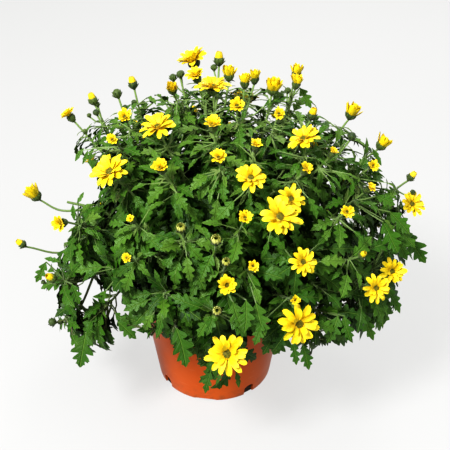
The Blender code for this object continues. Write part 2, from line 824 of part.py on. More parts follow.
def shoot_mesh(shoot, own):
    """A shoot with what it ends in: a calyx for a bloom, a bud, a small bloom, or nothing."""
    rings, side = tube_rings(shoot.points, shoot.radii, SHOOT_SIDES)
    head = shoot.head
    if not head:
        verts, faces, last = skin(rings)
        return verts, faces + [tuple(last)]
    side = across(head.face, side)
    for radius, height in head_profile(head, own):
        centre = head.place + head.face * height
        rings.append(round_corners(centre, side, head.face.cross(side), radius, CALYX_SIDES))
    verts, faces, last = skin(rings)
    if head.kind != "bud" and own:
        return verts, faces + [tuple(last)]
    crown = len(verts)
    verts.append(head.place + head.face * head.width * (0.5 if head.kind == "bud" else 0.1))
    faces += [(corner, after, crown) for corner, after in zip(last, last[1:] + last[:1])]
    if head.kind != "bud":
        add_spikes(verts, faces, head, last)
    return verts, faces


def head_profile(head, own):
    """Radii and heights of the rings under and round a head."""
    if head.kind == "bud":
        return ((head.width * 0.42, -head.width * 0.25), (head.width * 0.45, head.width * 0.15))
    wide = head.width / 2 * CALYX_SHARE + 0.001
    if own:
        return ((wide, -PETAL_THICKNESS - GAP),)
    return ((wide, -PETAL_THICKNESS), (wide, 0))


def add_spikes(verts, faces, head, top):
    """Pointed petals drawn out of the faces between the last two rings of a small bloom."""
    reach, rise = (0.28, 0.42) if head.kind == "cup" else (0.5, 0.22)
    for k, corner in enumerate(top):
        after = top[(k + 1) % CALYX_SIDES]
        low, low_after = corner - CALYX_SIDES, after - CALYX_SIDES
        faces.remove((low, low_after, after, corner))
        out = (verts[corner] + verts[after]) / 2 - head.place
        tip = head.place + out.normalized() * head.width * reach + head.face * head.width * rise
        peak = len(verts)
        verts.append(tip)
        base = (low, low_after, after, corner)
        faces += [(start, end, peak) for start, end in zip(base, base[1:] + base[:1])]


def leaf_mesh(leaf):
    """A lobed blade, thickest at its rib, with a three-sided petiole rooted in the stem."""
    side = leaf.along.cross(leaf.normal)
    rim, tip = blade_points(leaf)
    half = len(rim) // 2
    verts = []
    for place, share in ((leaf.root + leaf.normal * BLADE_RISE, ROOT_SHARE), (leaf.base, 1)):
        verts.append(place + side * PETIOLE_HALF * share)
        verts.append(place - side * PETIOLE_HALF * share)
        verts.append(place - leaf.normal * BLADE_KEEL * share)
    right = [3] + list(range(6, 6 + half))
    left = [4] + list(range(6 + half, 6 + 2 * half))
    verts += rim
    point = len(verts)
    verts.append(tip)
    tops, keels = [], []
    for up in leaf.outline.ribs:
        spine = leaf.base + (leaf.along * up - leaf.normal * BLADE_ARCH * up * up) * leaf.length
        tops.append(len(verts))
        verts.append(spine + leaf.normal * BLADE_RISE)
        keels.append(len(verts))
        verts.append(spine - leaf.normal * BLADE_KEEL)
    faces = [(0, 1, 2), (0, 3, 4, 1), (1, 4, 5, 2), (2, 5, 3, 0)]
    faces += [(3, tops[0], 4), (4, keels[0], 5), (5, keels[0], 3)]
    faces += blade_fan(right + [point], tops, leaf.outline.spans, False)
    faces += blade_fan(left + [point], tops, leaf.outline.spans, True)
    faces += blade_fan(right + [point], keels, leaf.outline.spans, True)
    faces += blade_fan(left + [point], keels, leaf.outline.spans, False)
    return verts, faces


def blade_fan(edge, ribs, spans, flip):
    """Triangles from the rib points to one edge; each rib point serves the edge from its span on."""
    faces = []
    for step in range(len(edge) - 1):
        serving = max(i for i, start in enumerate(spans) if step >= start)
        faces.append((edge[step], edge[step + 1], ribs[serving]))
        if serving and step == spans[serving]:
            faces.append((edge[step], ribs[serving], ribs[serving - 1]))
    return [tuple(reversed(face)) for face in faces] if flip else faces


def head_frame(head):
    side = across(head.face, Vector((0.9, 0.2, 0.1)))
    return side, head.face.cross(side)


def petal_count(head):
    return 7 if head.width < 0.020 else 8 if head.width < 0.027 else 10


def bloom_mesh(head):
    """A daisy: a domed disc ringed by ridged petals that rise and fall by turns."""
    count = petal_count(head)
    reach = head.width / 2
    disc = reach * DISC_SHARE
    side, other = head_frame(head)
    rises = (0.95, 1.25) if head.kind == "cup" else (0.12, 0.42)
    stretch = 0.62 if head.kind == "cup" else 1.0

    def spot(angle, out, up):
        turn = 2 * math.pi * angle / count
        flat = side * math.cos(turn) + other * math.sin(turn)
        return head.place + flat * out + head.face * up

    verts = [spot(0, 0, disc * 0.55), spot(0, 0, -PETAL_THICKNESS)]
    for k in range(count):
        verts.append(spot(k, disc, 0))
        verts.append(spot(k, disc, -PETAL_THICKNESS))
    faces = []
    for k in range(count):
        low, high = 2 + 2 * k, 2 + 2 * ((k + 1) % count)
        faces.append((0, low, high))
        faces.append((1, high + 1, low + 1))
        rise = rises[k % 2]
        run = (reach - disc) * stretch
        middle, end = disc + run * 0.55, disc + run
        half = 0.40 * (1.15 if head.kind == "cup" else 1.0)
        start = len(verts)
        verts.append(spot(k + 0.5 - half, middle, run * 0.55 * rise))
        verts.append(spot(k + 0.5 + half, middle, run * 0.55 * rise))
        verts.append(spot(k + 0.5, end, run * rise))
        verts.append(spot(k + 0.5, middle, run * 0.55 * rise - PETAL_THICKNESS))
        left, right, tip, keel = start, start + 1, start + 2, start + 3
        faces += [(low, left, right, high), (left, tip, right)]
        faces += [(left, keel, tip), (tip, keel, right)]
        faces += [(low, low + 1, keel, left), (high + 1, high, right, keel), (low + 1, high + 1, keel)]
    return verts, faces


# Parts

def pot_profile():
    """The pot's outline from the underside's centre up, over the lip and down to the floor."""
    lip_low = POT_HEIGHT - LIP_HEIGHT
    lip_outer = pot_radius(POT_HEIGHT) + LIP_REACH
    return [
        (0, 0),
        (POT_BASE_RADIUS - FOOT_BEVEL, 0),
        (POT_BASE_RADIUS, FOOT_BEVEL),
        (pot_radius(lip_low), lip_low),
        (lip_outer, lip_low + LIP_ROUND),
        (lip_outer, POT_HEIGHT - LIP_ROUND),
        (lip_outer - LIP_ROUND, POT_HEIGHT),
        (pot_radius(POT_HEIGHT) - POT_WALL, POT_HEIGHT),
        (pot_radius(POT_FLOOR) - POT_WALL, POT_FLOOR),
        (0, POT_FLOOR),
    ]


def wall_notches(angles, width, height, depth):
    """Blocks that reach in through the bottom edge of the wall."""
    verts, faces = [], []
    for angle in angles:
        turn = math.radians(angle)
        outward = Vector((math.sin(turn), -math.cos(turn), 0))
        side = Vector((math.cos(turn), math.sin(turn), 0))
        start = len(verts)
        for up in (-0.002, height):
            for out in (POT_BASE_RADIUS - depth, POT_BASE_RADIUS + 0.006):
                for hand in (-0.5, 0.5):
                    verts.append(outward * out + side * hand * width + UP * up)
        for face in ((1, 3, 2, 0), (6, 7, 5, 4), (4, 5, 1, 0), (3, 7, 6, 2), (2, 6, 4, 0), (5, 7, 3, 1)):
            faces.append(tuple(start + corner for corner in face))
    return verts, faces


def cut_away(shape, name, verts, faces):
    cutter = object_from(name, verts, faces, None)
    cutter.hide_render = True
    cutter.display_type = "WIRE"
    cut = shape.modifiers.new(name, "BOOLEAN")
    cut.operation = "DIFFERENCE"
    cut.object = cutter


def make_pot(material):
    pot = turned("pot", pot_profile(), POT_SIDES, material)
    cut_away(pot, "slot_cutter", *wall_notches(SLOT_ANGLES, SLOT_WIDTH, SLOT_HEIGHT, SLOT_DEPTH))
    cut_away(pot, "arch_cutter", *wall_notches(ARCH_ANGLES, ARCH_WIDTH, ARCH_HEIGHT, ARCH_DEPTH))
    return pot


def make_soil(stems, material):
    low = POT_FLOOR + GAP
    wall = POT_WALL + GAP
    profile = [
        (0, low),
        (pot_radius(low) - wall, low),
        (pot_radius(SOIL_EDGE) - wall, SOIL_EDGE),
        (SOIL_CROWN_RADIUS, SOIL_CROWN),
        (0, SOIL_CROWN),
    ]
    soil = turned("potting_soil", profile, POT_SIDES, material)
    draw = random.Random(SEED + 2)
    for vertex in soil.data.vertices:
        if vertex.co.z > SOIL_EDGE + 0.001:
            vertex.co.z += draw.uniform(-SOIL_ROUGHNESS, SOIL_ROUGHNESS)
    verts, faces = [], []
    radius = (STEM_RADIUS + HOLE_CLEARANCE) / math.cos(math.pi / HOLE_SIDES)
    for stem in stems:
        foot = stem.points[0] - UP * GAP
        head = Vector((foot.x, foot.y, SOIL_CROWN + 0.01))
        start = len(verts)
        more_verts, more_faces = tube([foot, head], [radius, radius], HOLE_SIDES)
        verts += more_verts
        faces += [tuple(start + corner for corner in face) for face in more_faces]
    cut_away(soil, "stem_hole_cutter", verts, faces)
    return soil


def fuse(name, pieces, material):
    """One body from overlapping closed pieces: a stem and all that grows on it."""
    body = object_from(name, *pieces[0], material)
    group = bpy.data.collections.new(name + "_growth")
    bpy.context.scene.collection.children.link(group)
    for verts, faces in pieces[1:]:
        piece = object_from(name + "_piece", verts, faces, None)
        bpy.context.collection.objects.unlink(piece)
        group.objects.link(piece)
    union = body.modifiers.new("union", "BOOLEAN")
    union.operation = "UNION"
    union.operand_type = "COLLECTION"
    union.collection = group
    union.solver = "MANIFOLD"
    evaluated = body.evaluated_get(bpy.context.evaluated_depsgraph_get())
    fused = bpy.data.meshes.new_from_object(evaluated)
    body.modifiers.clear()
    old = body.data
    body.data = fused
    bpy.data.meshes.remove(old)
    for piece in list(group.objects):
        bpy.data.objects.remove(piece)
    bpy.data.collections.remove(group)
    return body


def make_stem(stems, index, shoots, leaves, own_names, material):
    stem = stems[index]
    pieces = [tube(stem.points, stem.radii, STEM_SIDES)]
    for shoot in shoots:
        if shoot.stem != index:
            continue
        pieces.append(shoot_mesh(shoot, bool(shoot.head) and shoot.head.name in own_names))
    pieces += [leaf_mesh(leaf) for leaf in leaves if leaf.stem == index]
    return fuse(stem.name, pieces, material)


def make_bloom(name, head, material):
    verts, faces = bloom_mesh(head)
    centred = [spot - head.place for spot in verts]
    bloom = object_from(name, centred, faces, material)
    bloom.location = head.place
    return bloom


def clear_scene():
    for shape in list(bpy.data.objects):
        bpy.data.objects.remove(shape)


def main():
    clear_scene()
    terracotta = plain_material("terracotta_plastic", (0.66, 0.10, 0.02), 0.35)
    soil = plain_material("soil", (0.035, 0.02, 0.012), 0.95)
    leaf_green = plain_material("leaf_green", (0.05, 0.17, 0.025), 0.6)
    yellow = plain_material("petal_yellow", (0.9, 0.66, 0.01), 0.55)
    stems, heads, shoots, leaves = grow_plant()
    make_pot(terracotta)
    make_soil(stems, soil)
    blooms = [head for head in heads if head.kind != "bud"]
    own = sorted(blooms, key=lambda head: -head.width)[:OWN_BLOOMS]
    own_names = {head.name for head in own}
    for index in range(len(stems)):
        make_stem(stems, index, shoots, leaves, own_names, leaf_green)
    for number, head in enumerate(own, 1):
        make_bloom(f"bloom_{number:02d}", head, yellow)


main()
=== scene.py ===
"""Looks of the pot chrysanthemum: fine leaves, blooms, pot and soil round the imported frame.

The layout below is the one that the frame was grown from, so each fine piece lies where the node
that it stands for lies. Sizes are in metres and angles in degrees. The front faces -Y.
"""

import functools
import math
import random
from collections import namedtuple

import bpy
import numpy as np
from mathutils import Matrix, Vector, noise


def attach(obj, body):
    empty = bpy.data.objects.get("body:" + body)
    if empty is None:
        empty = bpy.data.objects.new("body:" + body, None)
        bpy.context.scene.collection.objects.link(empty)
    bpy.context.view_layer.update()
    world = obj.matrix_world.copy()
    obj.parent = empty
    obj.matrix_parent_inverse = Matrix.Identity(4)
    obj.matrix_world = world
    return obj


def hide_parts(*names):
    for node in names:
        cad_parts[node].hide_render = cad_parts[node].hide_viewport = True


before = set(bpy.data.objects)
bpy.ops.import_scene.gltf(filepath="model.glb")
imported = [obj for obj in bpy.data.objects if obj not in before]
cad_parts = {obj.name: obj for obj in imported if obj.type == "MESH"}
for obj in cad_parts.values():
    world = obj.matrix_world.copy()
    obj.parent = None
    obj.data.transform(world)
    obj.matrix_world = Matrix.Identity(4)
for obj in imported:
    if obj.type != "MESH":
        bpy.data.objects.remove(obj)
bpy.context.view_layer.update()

# Pot
POT_HEIGHT = 0.125
POT_BASE_RADIUS = 0.058
POT_TAPER = 0.144
POT_WALL = 0.0022
POT_FLOOR = 0.004
LIP_HEIGHT = 0.007
LIP_REACH = 0.0022
LIP_ROUND = 0.0012
POT_CLEARANCE = 0.002
SLOT_WIDTH = 0.011
SLOT_HEIGHT = 0.012
SLOT_DEPTH = 0.005
SLOT_ANGLES = (-54, 36, 126, 216)
ARCH_WIDTH = 0.022
ARCH_HEIGHT = 0.0025
ARCH_DEPTH = 0.008
ARCH_ANGLES = (-9, 81, 171, 261)

# Potting soil
GAP = 0.0003
SOIL_EDGE = 0.107
SOIL_CROWN = 0.111
SOIL_ROUGHNESS = 0.0012
COLLAR_RISE = 0.004
HOLE_DEPTH = 0.025

# The dome that the blooms stand on: half widths to each side of its centre
DOME_CENTRE = Vector((0.004, 0.0, 0.145))
DOME_SIDE = 0.183
DOME_FRONT = 0.142
DOME_BACK = 0.165
DOME_UP = 0.170
LEAF_DOME = 0.90

# Stems: count, polar angle of the tips, first azimuth, radius of the roots, scale of the dome
Ring = namedtuple("Ring", "count polar azimuth root scale")
STEM_RINGS = (
    Ring(1, 8, 120, 0.000, 0.84),
    Ring(4, 37, 20, 0.018, 0.84),
    Ring(6, 66, 5, 0.034, 0.84),
    Ring(7, 94, 204, 0.049, 0.84),
)
STEM_RADIUS = 0.0026
STEM_TIP_RADIUS = 0.0011
STEM_STEPS = 5
STEM_BEND = 0.45
STEM_RISE = 0.055
STEM_STRETCH = 0.25

# Side shoots and flower stalks
SHOOT_RADIUS = 0.0012
SHOOT_TIP_RADIUS = 0.0009
SHOOT_STEPS = 2
SHOOT_BACKSETS = (0.9, 0.6, 0.3, 0.0)
SHOOT_SPACING = 0.036
SHOOT_STARTS = 40
SHOOT_LOWEST = 0.12
SHOOT_BEND = 0.45
FILLER_TRIES = 150
FILLER_SCALE = 0.93
FILLER_RISE = 0.012
SHOOT_CLEARANCE = 0.005
MARGIN = 0.0012
BLADE_SPACING = 0.008
ROOT_SPACING = 0.005
STEM_SPACING = 0.003
HEAD_CLEARANCE = 0.002
BELOW_HEAD = 0.003
ABOVE_HEAD = 0.012

# Leaves: outlines are half widths and heights as shares of the blade's length, base to tip
LEAF_TURN = 137.5
LEAF_COUNT = 260
LEAF_LOW = 0.046
LEAF_HIGH = 0.021
LEAF_TAPER = 0.6
LEAF_RIGHT = 0.11
LEAF_LIFT = 0.45
FALL = -0.15
LEAF_DEPTH = 0.010
LEAF_SCATTER = 0.08
LEAF_SIZES = (0.88, 1.12)
LEAF_SWING = 0.7
LEAF_TRIES = ((1, 0), (1, 0.6), (1, -0.6), (0.85, 0), (0.85, 1.1), (0.85, -1.1), (0.7, 0.3), (0.6, -0.3))
FOLIAGE_LOWEST = -0.45
PETIOLE = 0.006
PETIOLE_SHORT = 0.008
PETIOLE_LONG = 0.030
BLADE_FOLD = 0.16
BLADE_ARCH = 0.22
LARGE_LEAF = 0.034
MIDDLE_LEAF = 0.022
LARGE_OUTLINE = ((0.29, 0.17), (0.12, 0.33), (0.42, 0.55), (0.15, 0.64), (0.21, 0.84))
MIDDLE_OUTLINE = ((0.29, 0.24), (0.13, 0.38), (0.34, 0.64))
SMALL_OUTLINE = ((0.27, 0.42), (0.13, 0.62))

# Blooms: the widest have nodes of their own, the rest belong to their stem
OWN_BLOOMS = 40
BUD_WIDEST = 0.010
CUP_WIDEST = 0.015
CALYX_DEPTH = 0.008
CALYX_SHARE = 0.30
DISC_SHARE = 0.27

# The photograph's view: the eye, its downward tilt, and half its width in angle and pixels
EYE = Vector((0.0106, -0.681, 0.5975))
TILT = 32
HALF_VIEW = 15
HALF_FRAME = 225
PIXEL_SLOPE = math.tan(math.radians(HALF_VIEW)) / HALF_FRAME

# Heads seen in the photograph: pixel across, pixel down, width in mm, mm nearer than the dome
Seen = namedtuple("Seen", "across down width nearer")
OPEN_SEEN = {
    "crown_left": (193, 61, 33, -22), "crown_low": (196, 76, 20, 14), "crown_right": (213, 87, 32, 3),
    "upper_left": (158, 127, 31, 0), "left_large": (110, 172, 36, 0), "upper_middle": (213, 125, 20, 0),
    "upper_small": (237, 106, 17, 0), "upper_right": (304, 139, 30, 0), "middle": (251, 178, 28, 0),
    "pair_back": (291, 199, 27, -9), "pair_front": (280, 217, 36, 5), "right_middle": (303, 262, 26, 0),
    "low_middle": (227, 285, 20, 0), "low_right": (299, 324, 38, 0), "low_front": (227, 354, 38, 0),
    "far_right_left": (376, 288, 27, 5), "far_right": (392, 271, 26, -5), "right_edge": (412, 204, 26, 0),
    "right_half": (306, 169, 14, 0), "centre_high": (256, 145, 13, 0), "right_round": (347, 212, 14, 0),
    "centre": (245, 218, 15, 0), "centre_low": (253, 266, 13, 0), "centre_left": (219, 158, 17, 0),
    "left_pale": (161, 168, 18, 0), "left_high": (113, 140, 13, 0), "left_top": (125, 117, 17, 0),
    "left_far_top": (69, 115, 18, 0), "left_far": (61, 223, 18, 0), "top_right": (279, 114, 13, 0),
    "right_high": (373, 166, 13, 0), "right_mid": (370, 188, 12, 0), "right_top": (333, 152, 10, 0),
    "low_left": (127, 258, 11, 0), "left_mid": (131, 219, 9, 0), "low_centre": (295, 300, 11, 0),
}
CUP_SEEN = {
    "cup_top": (229, 73, 13, 0), "cup_double_left": (245, 80, 11, 6), "cup_double_right": (255, 76, 11, -6),
    "cup_top_right": (273, 87, 15, 0), "cup_right_high": (297, 71, 12, -14),
    "cup_right_low": (297, 81, 11, 8), "cup_far_right": (352, 112, 15, 0), "cup_right": (383, 143, 14, 0),
    "cup_far_left": (34, 194, 15, 0), "cup_top_left": (172, 88, 11, 0),
}
BUD_SEEN = {
    "bud_left_a": (93, 100, 9, 0), "bud_left_b": (117, 93, 9, 0), "bud_left_c": (133, 84, 9, 0),
    "bud_left_d": (96, 112, 6, 14), "bud_crown": (219, 60, 10, 0), "bud_crown_left": (180, 74, 7, 0),
    "bud_right": (411, 177, 8, 0), "bud_far_left": (22, 244, 8, 0), "bud_top_right": (312, 115, 9, 0),
    "bud_right_top": (352, 136, 8, 0), "bud_centre": (181, 228, 9, 0), "bud_middle": (216, 240, 10, 0),
    "bud_low": (217, 311, 9, 0), "bud_low_high": (226, 262, 8, 0), "bud_left_low": (52, 278, 9, 0),
    "bud_left_lowest": (52, 322, 8, 0), "bud_right_low": (362, 255, 7, 0),
}
# Which way a head leans from the dome's normal: to the right, back and up in the photograph
LEAN = {
    "upper_right": (-0.9, 0.0, 0.3), "left_far_top": (-0.1, -0.2, 0.0), "left_far": (0.1, -0.4, -0.4),
    "left_top": (0.3, -0.8, -0.3), "left_high": (0.1, -0.6, -0.3), "cup_right": (0.5, 0.0, 0.4),
    "cup_far_left": (-0.4, 0.0, 0.5), "crown_left": (-0.5, -0.5, 0.0), "crown_low": (-0.3, -0.5, 0.0),
    "crown_right": (0.0, 0.0, 0.5), "right_edge": (-0.75, -0.8, 0.0), "far_right": (-0.5, -0.45, 0.1),
    "far_right_left": (-0.4, -0.4, 0.1), "low_front": (0.0, 0.0, 0.3), "upper_small": (-0.1, -0.7, -0.4),
    "top_right": (-0.2, -0.8, -0.4), "cup_top_left": (0.0, -0.9, -0.2), "right_high": (-0.5, -0.7, -0.2),
    "right_round": (-0.4, -0.3, -0.1),
}
HEAD_FACE_UP = 0.45
STALK_FACE_UP = 0.9
HEAD_PULLS = (0, 0.03, 0.06, 0.1, 0.15, 0.2)
HEAD_APART = 0.3

# Heads behind, which the photograph doesn't show, spread by a rule
BEHIND_HEADS = 20
BEHIND_SPACING = 0.029
BEHIND_FACING = -0.47
BEHIND_LOWEST = -0.30
BEHIND_SCATTER = (-0.03, 0.04)
BEHIND_LEAN = 0.2
BEHIND_SIZES = (0.034, 0.013, 0.026, 0.009, 0.030, 0.016, 0.036, 0.012, 0.024, 0.008)

# The outline of the leaves in the photograph, and the gaps where the background shows, in pixels
OUTLINE_SEEN = (
    (34, 287), (37, 262), (50, 253), (62, 259), (64, 236), (70, 213), (84, 201), (96, 206), (99, 196),
    (91, 182), (88, 164), (74, 161), (70, 150), (74, 138), (84, 123), (104, 117), (118, 111), (128, 103),
    (142, 101), (150, 96), (154, 85), (162, 95), (185, 85), (205, 79), (240, 80), (262, 83), (285, 85),
    (300, 81), (312, 97), (319, 111), (333, 121), (345, 127), (362, 131), (378, 149), (385, 175),
    (397, 185), (403, 196), (415, 221), (418, 238), (425, 267), (410, 269), (400, 273), (399, 290),
    (407, 312), (395, 313), (389, 329), (377, 344), (350, 347), (330, 347), (313, 350), (312, 373),
    (298, 369), (288, 353), (273, 351), (269, 371), (253, 373), (250, 391), (203, 397), (197, 381),
    (192, 371), (180, 353), (164, 341), (152, 339), (138, 341), (120, 336), (115, 346), (115, 358),
    (79, 373), (77, 351), (66, 341), (52, 347), (46, 331), (54, 318), (60, 300), (52, 299), (42, 291),
)
GAPS_SEEN = (
    ((75, 283), (96, 279), (101, 290), (90, 297), (81, 304)),
    ((105, 309), (112, 300), (121, 293), (131, 303), (126, 308), (116, 313)),
)

# How low the leaves hang: in front, at the sides and behind, and round the lowest front bloom
SKIRT_FRONT = 0.112
SKIRT_SIDE = 0.078
SKIRT_TUFT = 0.060
FRONT_HALF_ANGLE = 42
TUFT_HALF_ANGLE = 11

SEED = 11

Stem = namedtuple("Stem", "name points radii")
Head = namedtuple("Head", "name kind width place face")
Shoot = namedtuple("Shoot", "stem points radii head")
Leaf = namedtuple("Leaf", "stem root base along normal length outline")

UP = Vector((0, 0, 1))


# Vectors and curves

def direction(azimuth, polar):
    """A unit vector: azimuth runs counterclockwise from +X, polar angle down from +Z."""
    turn, fall = math.radians(azimuth), math.radians(polar)
    return Vector((math.sin(fall) * math.cos(turn), math.sin(fall) * math.sin(turn), math.cos(fall)))


def blend(start, end, share):
    """What lies at a share of the way from start to end."""
    return start + (end - start) * share


def array_of(vectors):
    """The vectors as the rows of one array."""
    return np.array([tuple(vector) for vector in vectors])


def bezier(start, bend, end, steps):
    """Points along a quadratic curve, its ends included."""
    spots = []
    for step in range(steps + 1):
        share = step / steps
        spots.append(blend(blend(start, bend, share), blend(bend, end, share), share))
    return spots


def across(axis, hint):
    """The unit vector nearest to hint that is square to the axis."""
    side = hint - axis * hint.dot(axis)
    return side.normalized()


def dome_point(heading, scale):
    """Where a direction from the dome's centre meets the dome."""
    depth = DOME_FRONT if heading.y < 0 else DOME_BACK
    return DOME_CENTRE + Vector((heading.x * DOME_SIDE, heading.y * depth, heading.z * DOME_UP)) * scale


def dome_normal(place):
    """The dome's outward direction at a place."""
    depth = DOME_FRONT if place.y < DOME_CENTRE.y else DOME_BACK
    off = place - DOME_CENTRE
    return Vector((off.x / DOME_SIDE ** 2, off.y / depth ** 2, off.z / DOME_UP ** 2)).normalized()


# The photograph's sight lines

def sight_line(seen):
    """The unit vector from the photograph's eye through a pixel."""
    tilt = math.radians(TILT)
    ahead = Vector((0, math.cos(tilt), -math.sin(tilt)))
    above = Vector((0, math.sin(tilt), math.cos(tilt)))
    sideways = Vector(((seen.across - HALF_FRAME) * PIXEL_SLOPE, 0, 0))
    return (ahead + sideways + above * ((HALF_FRAME - seen.down) * PIXEL_SLOPE)).normalized()


def seen_at(seen):
    """Where a sight line first meets the dome, or passes nearest to it."""
    line = sight_line(seen)
    half = (DOME_SIDE, DOME_FRONT, DOME_UP)
    reach = EYE - DOME_CENTRE
    start = Vector([reach[i] / half[i] for i in range(3)])
    step = Vector([line[i] / half[i] for i in range(3)])
    square, cross = step.dot(step), start.dot(step)
    rest = max(cross * cross - square * (start.dot(start) - 1), 0)
    return EYE + line * ((-cross - math.sqrt(rest)) / square - seen.nearer * 0.001)


def seen_pixel(places):
    """Pixel across, pixel down and distance along the view of places in the photograph."""
    tilt = math.radians(TILT)
    offsets = array_of(places) - np.array(EYE)
    depth = offsets[:, 1] * math.cos(tilt) - offsets[:, 2] * math.sin(tilt)
    above = offsets[:, 1] * math.sin(tilt) + offsets[:, 2] * math.cos(tilt)
    pixels_across = HALF_FRAME + offsets[:, 0] / depth / PIXEL_SLOPE
    pixels_down = HALF_FRAME - above / depth / PIXEL_SLOPE
    return np.stack([pixels_across, pixels_down, depth], axis=1)


def inside(spots, corners):
    """Which pixels lie inside a closed row of corners."""
    found = np.zeros(len(spots), dtype=bool)
    for (x1, y1), (x2, y2) in zip(corners, corners[1:] + corners[:1]):
        if y1 == y2:
            continue
        crosses = (spots[:, 1] < y1) != (spots[:, 1] < y2)
        found ^= crosses & (spots[:, 0] < (x2 - x1) * (spots[:, 1] - y1) / (y2 - y1) + x1)
    return found


def in_outline(places):
    """Whether places all lie in the plant's outline in the photograph, and none in a gap."""
    spots = seen_pixel(places)
    gaps = [inside(spots, corners).any() for corners in GAPS_SEEN]
    return bool(inside(spots, OUTLINE_SEEN).all()) and not any(gaps)


# Layout of the plant

def head_frame(head):
    """Two unit vectors square to a head's face and to each other."""
    side = across(head.face, Vector((0.9, 0.2, 0.1)))
    return side, head.face.cross(side)


def ring_stem(ring, index, name):
    """One stem of a ring: up out of its hole in the soil, then in a curve to the dome."""
    azimuth = ring.azimuth + 360 * index / ring.count
    outward = direction(azimuth, 90)
    root = outward * ring.root + UP * (SOIL_EDGE - HOLE_DEPTH)
    collar = Vector((root.x, root.y, SOIL_CROWN + COLLAR_RISE))
    tip = dome_point(direction(azimuth, ring.polar), ring.scale)
    bend = blend(collar, tip, STEM_BEND)
    bend.z = collar.z + STEM_RISE + STEM_STRETCH * max(tip.z - collar.z, 0)
    points = [root] + bezier(collar, bend, tip, STEM_STEPS)
    last = len(points) - 1
    radii = [STEM_RADIUS] * 2
    for step in range(2, last + 1):
        radii.append(STEM_RADIUS + (STEM_TIP_RADIUS - STEM_RADIUS) * (step - 1) / (last - 1))
    return Stem(name, points, radii)


def grow_stems():
    """The stems of all the rings, inner ring first."""
    stems = []
    for ring in STEM_RINGS:
        for index in range(ring.count):
            stems.append(ring_stem(ring, index, f"leafy_stem_{len(stems) + 1:02d}"))
    return stems


class Territory:
    """Which stem, with all the shoots on it, is nearest to a place, and by how much."""

    def __init__(self, stems):
        self.starts = np.empty((0, 3))
        self.runs = np.empty((0, 3))
        self.owners = np.empty(0, dtype=int)
        self.count = len(stems)
        for index, stem in enumerate(stems):
            self.add(index, stem.points)

    def add(self, index, points):
        """Adds a curve to one stem's own."""
        spots = np.array(points)
        self.starts = np.vstack([self.starts, spots[:-1]])
        self.runs = np.vstack([self.runs, spots[1:] - spots[:-1]])
        self.owners = np.append(self.owners, [index] * (len(spots) - 1))

    def distances(self, places):
        """Distance from each place to each stem."""
        offsets = np.array(places)[:, None, :] - self.starts[None, :, :]
        squares = (self.runs ** 2).sum(axis=1)
        shares = np.clip((offsets * self.runs).sum(axis=2) / squares, 0, 1)
        gaps = np.linalg.norm(offsets - shares[:, :, None] * self.runs, axis=2)
        return np.stack([gaps[:, self.owners == i].min(axis=1) for i in range(self.count)], axis=1)

    def nearest(self, place, count):
        """The nearest stems, nearest first."""
        return [int(index) for index in self.distances([place])[0].argsort()[:count]]

    def clearance(self, index, places):
        """The least distance from the places to any other stem."""
        return float(np.delete(self.distances(places), index, axis=1).min())

    def holds(self, index, places, margin):
        """Whether all the places lie in one stem's space, clear of its border."""
        gaps = self.distances(places)
        others = np.delete(gaps, index, axis=1).min(axis=1)
        return bool((others - gaps[:, index] > 2 * margin).all())


def facing(place, lean, kind):
    """A bloom faces out from the dome and up; cups and buds stand more upright on their stalks."""
    upright = HEAD_FACE_UP if kind == "open" else STALK_FACE_UP
    return (dome_normal(place) + UP * upright + Vector(lean)).normalized()


def seen_heads():
    """The photograph's heads, each on its own sight line."""
    heads = []
    for kind, table in (("open", OPEN_SEEN), ("cup", CUP_SEEN), ("bud", BUD_SEEN)):
        for name, spot in table.items():
            seen = Seen(*spot)
            place = seen_at(seen)
            face = facing(place, LEAN.get(name, (0, 0, 0)), kind)
            heads.append(Head(name, kind, seen.width * 0.001, place, face))
    return heads


def spiral_headings(count, lowest):
    """Directions spread evenly over the sphere down to the height named lowest."""
    headings = []
    for index in range(count):
        height = 1 - (1 - lowest) * (index + 0.5) / count
        headings.append(direction(index * LEAF_TURN, math.degrees(math.acos(height))))
    return headings


def heads_behind(heads):
    """Heads on the side away from the photograph, at least a spacing from the others."""
    draw = random.Random(SEED)
    found = []
    for heading in spiral_headings(BEHIND_HEADS * 5, BEHIND_LOWEST):
        place = dome_point(heading, 1 + draw.uniform(*BEHIND_SCATTER))
        turned_to_eye = dome_normal(place).dot((EYE - place).normalized())
        if turned_to_eye > BEHIND_FACING or len(found) == BEHIND_HEADS or not in_outline([place]):
            continue
        gaps = [(place - other.place).length for other in heads + found]
        if min(gaps) < BEHIND_SPACING:
            continue
        width = BEHIND_SIZES[len(found) % len(BEHIND_SIZES)]
        kind = "bud" if width < BUD_WIDEST else "cup" if width < CUP_WIDEST else "open"
        lean = (draw.uniform(-BEHIND_LEAN, BEHIND_LEAN), draw.uniform(-BEHIND_LEAN, BEHIND_LEAN), 0)
        face = facing(place, lean, kind)
        found.append(Head(f"behind_{len(found) + 1:02d}", kind, width, place, face))
    return found


def calyx_depth(head):
    """How far the green cup or ball reaches below a head's place."""
    return CALYX_DEPTH if head.kind != "bud" else head.width * 0.6


def point_along(points, share):
    """The point at a share of a polyline's length."""
    lengths = [(b - a).length for a, b in zip(points, points[1:])]
    left = share * sum(lengths)
    for start, end, length in zip(points, points[1:], lengths):
        if left <= length:
            return blend(start, end, left / length)
        left -= length
    return points[-1].copy()


def curve_length(points):
    """The length of a polyline."""
    return sum((b - a).length for a, b in zip(points, points[1:]))


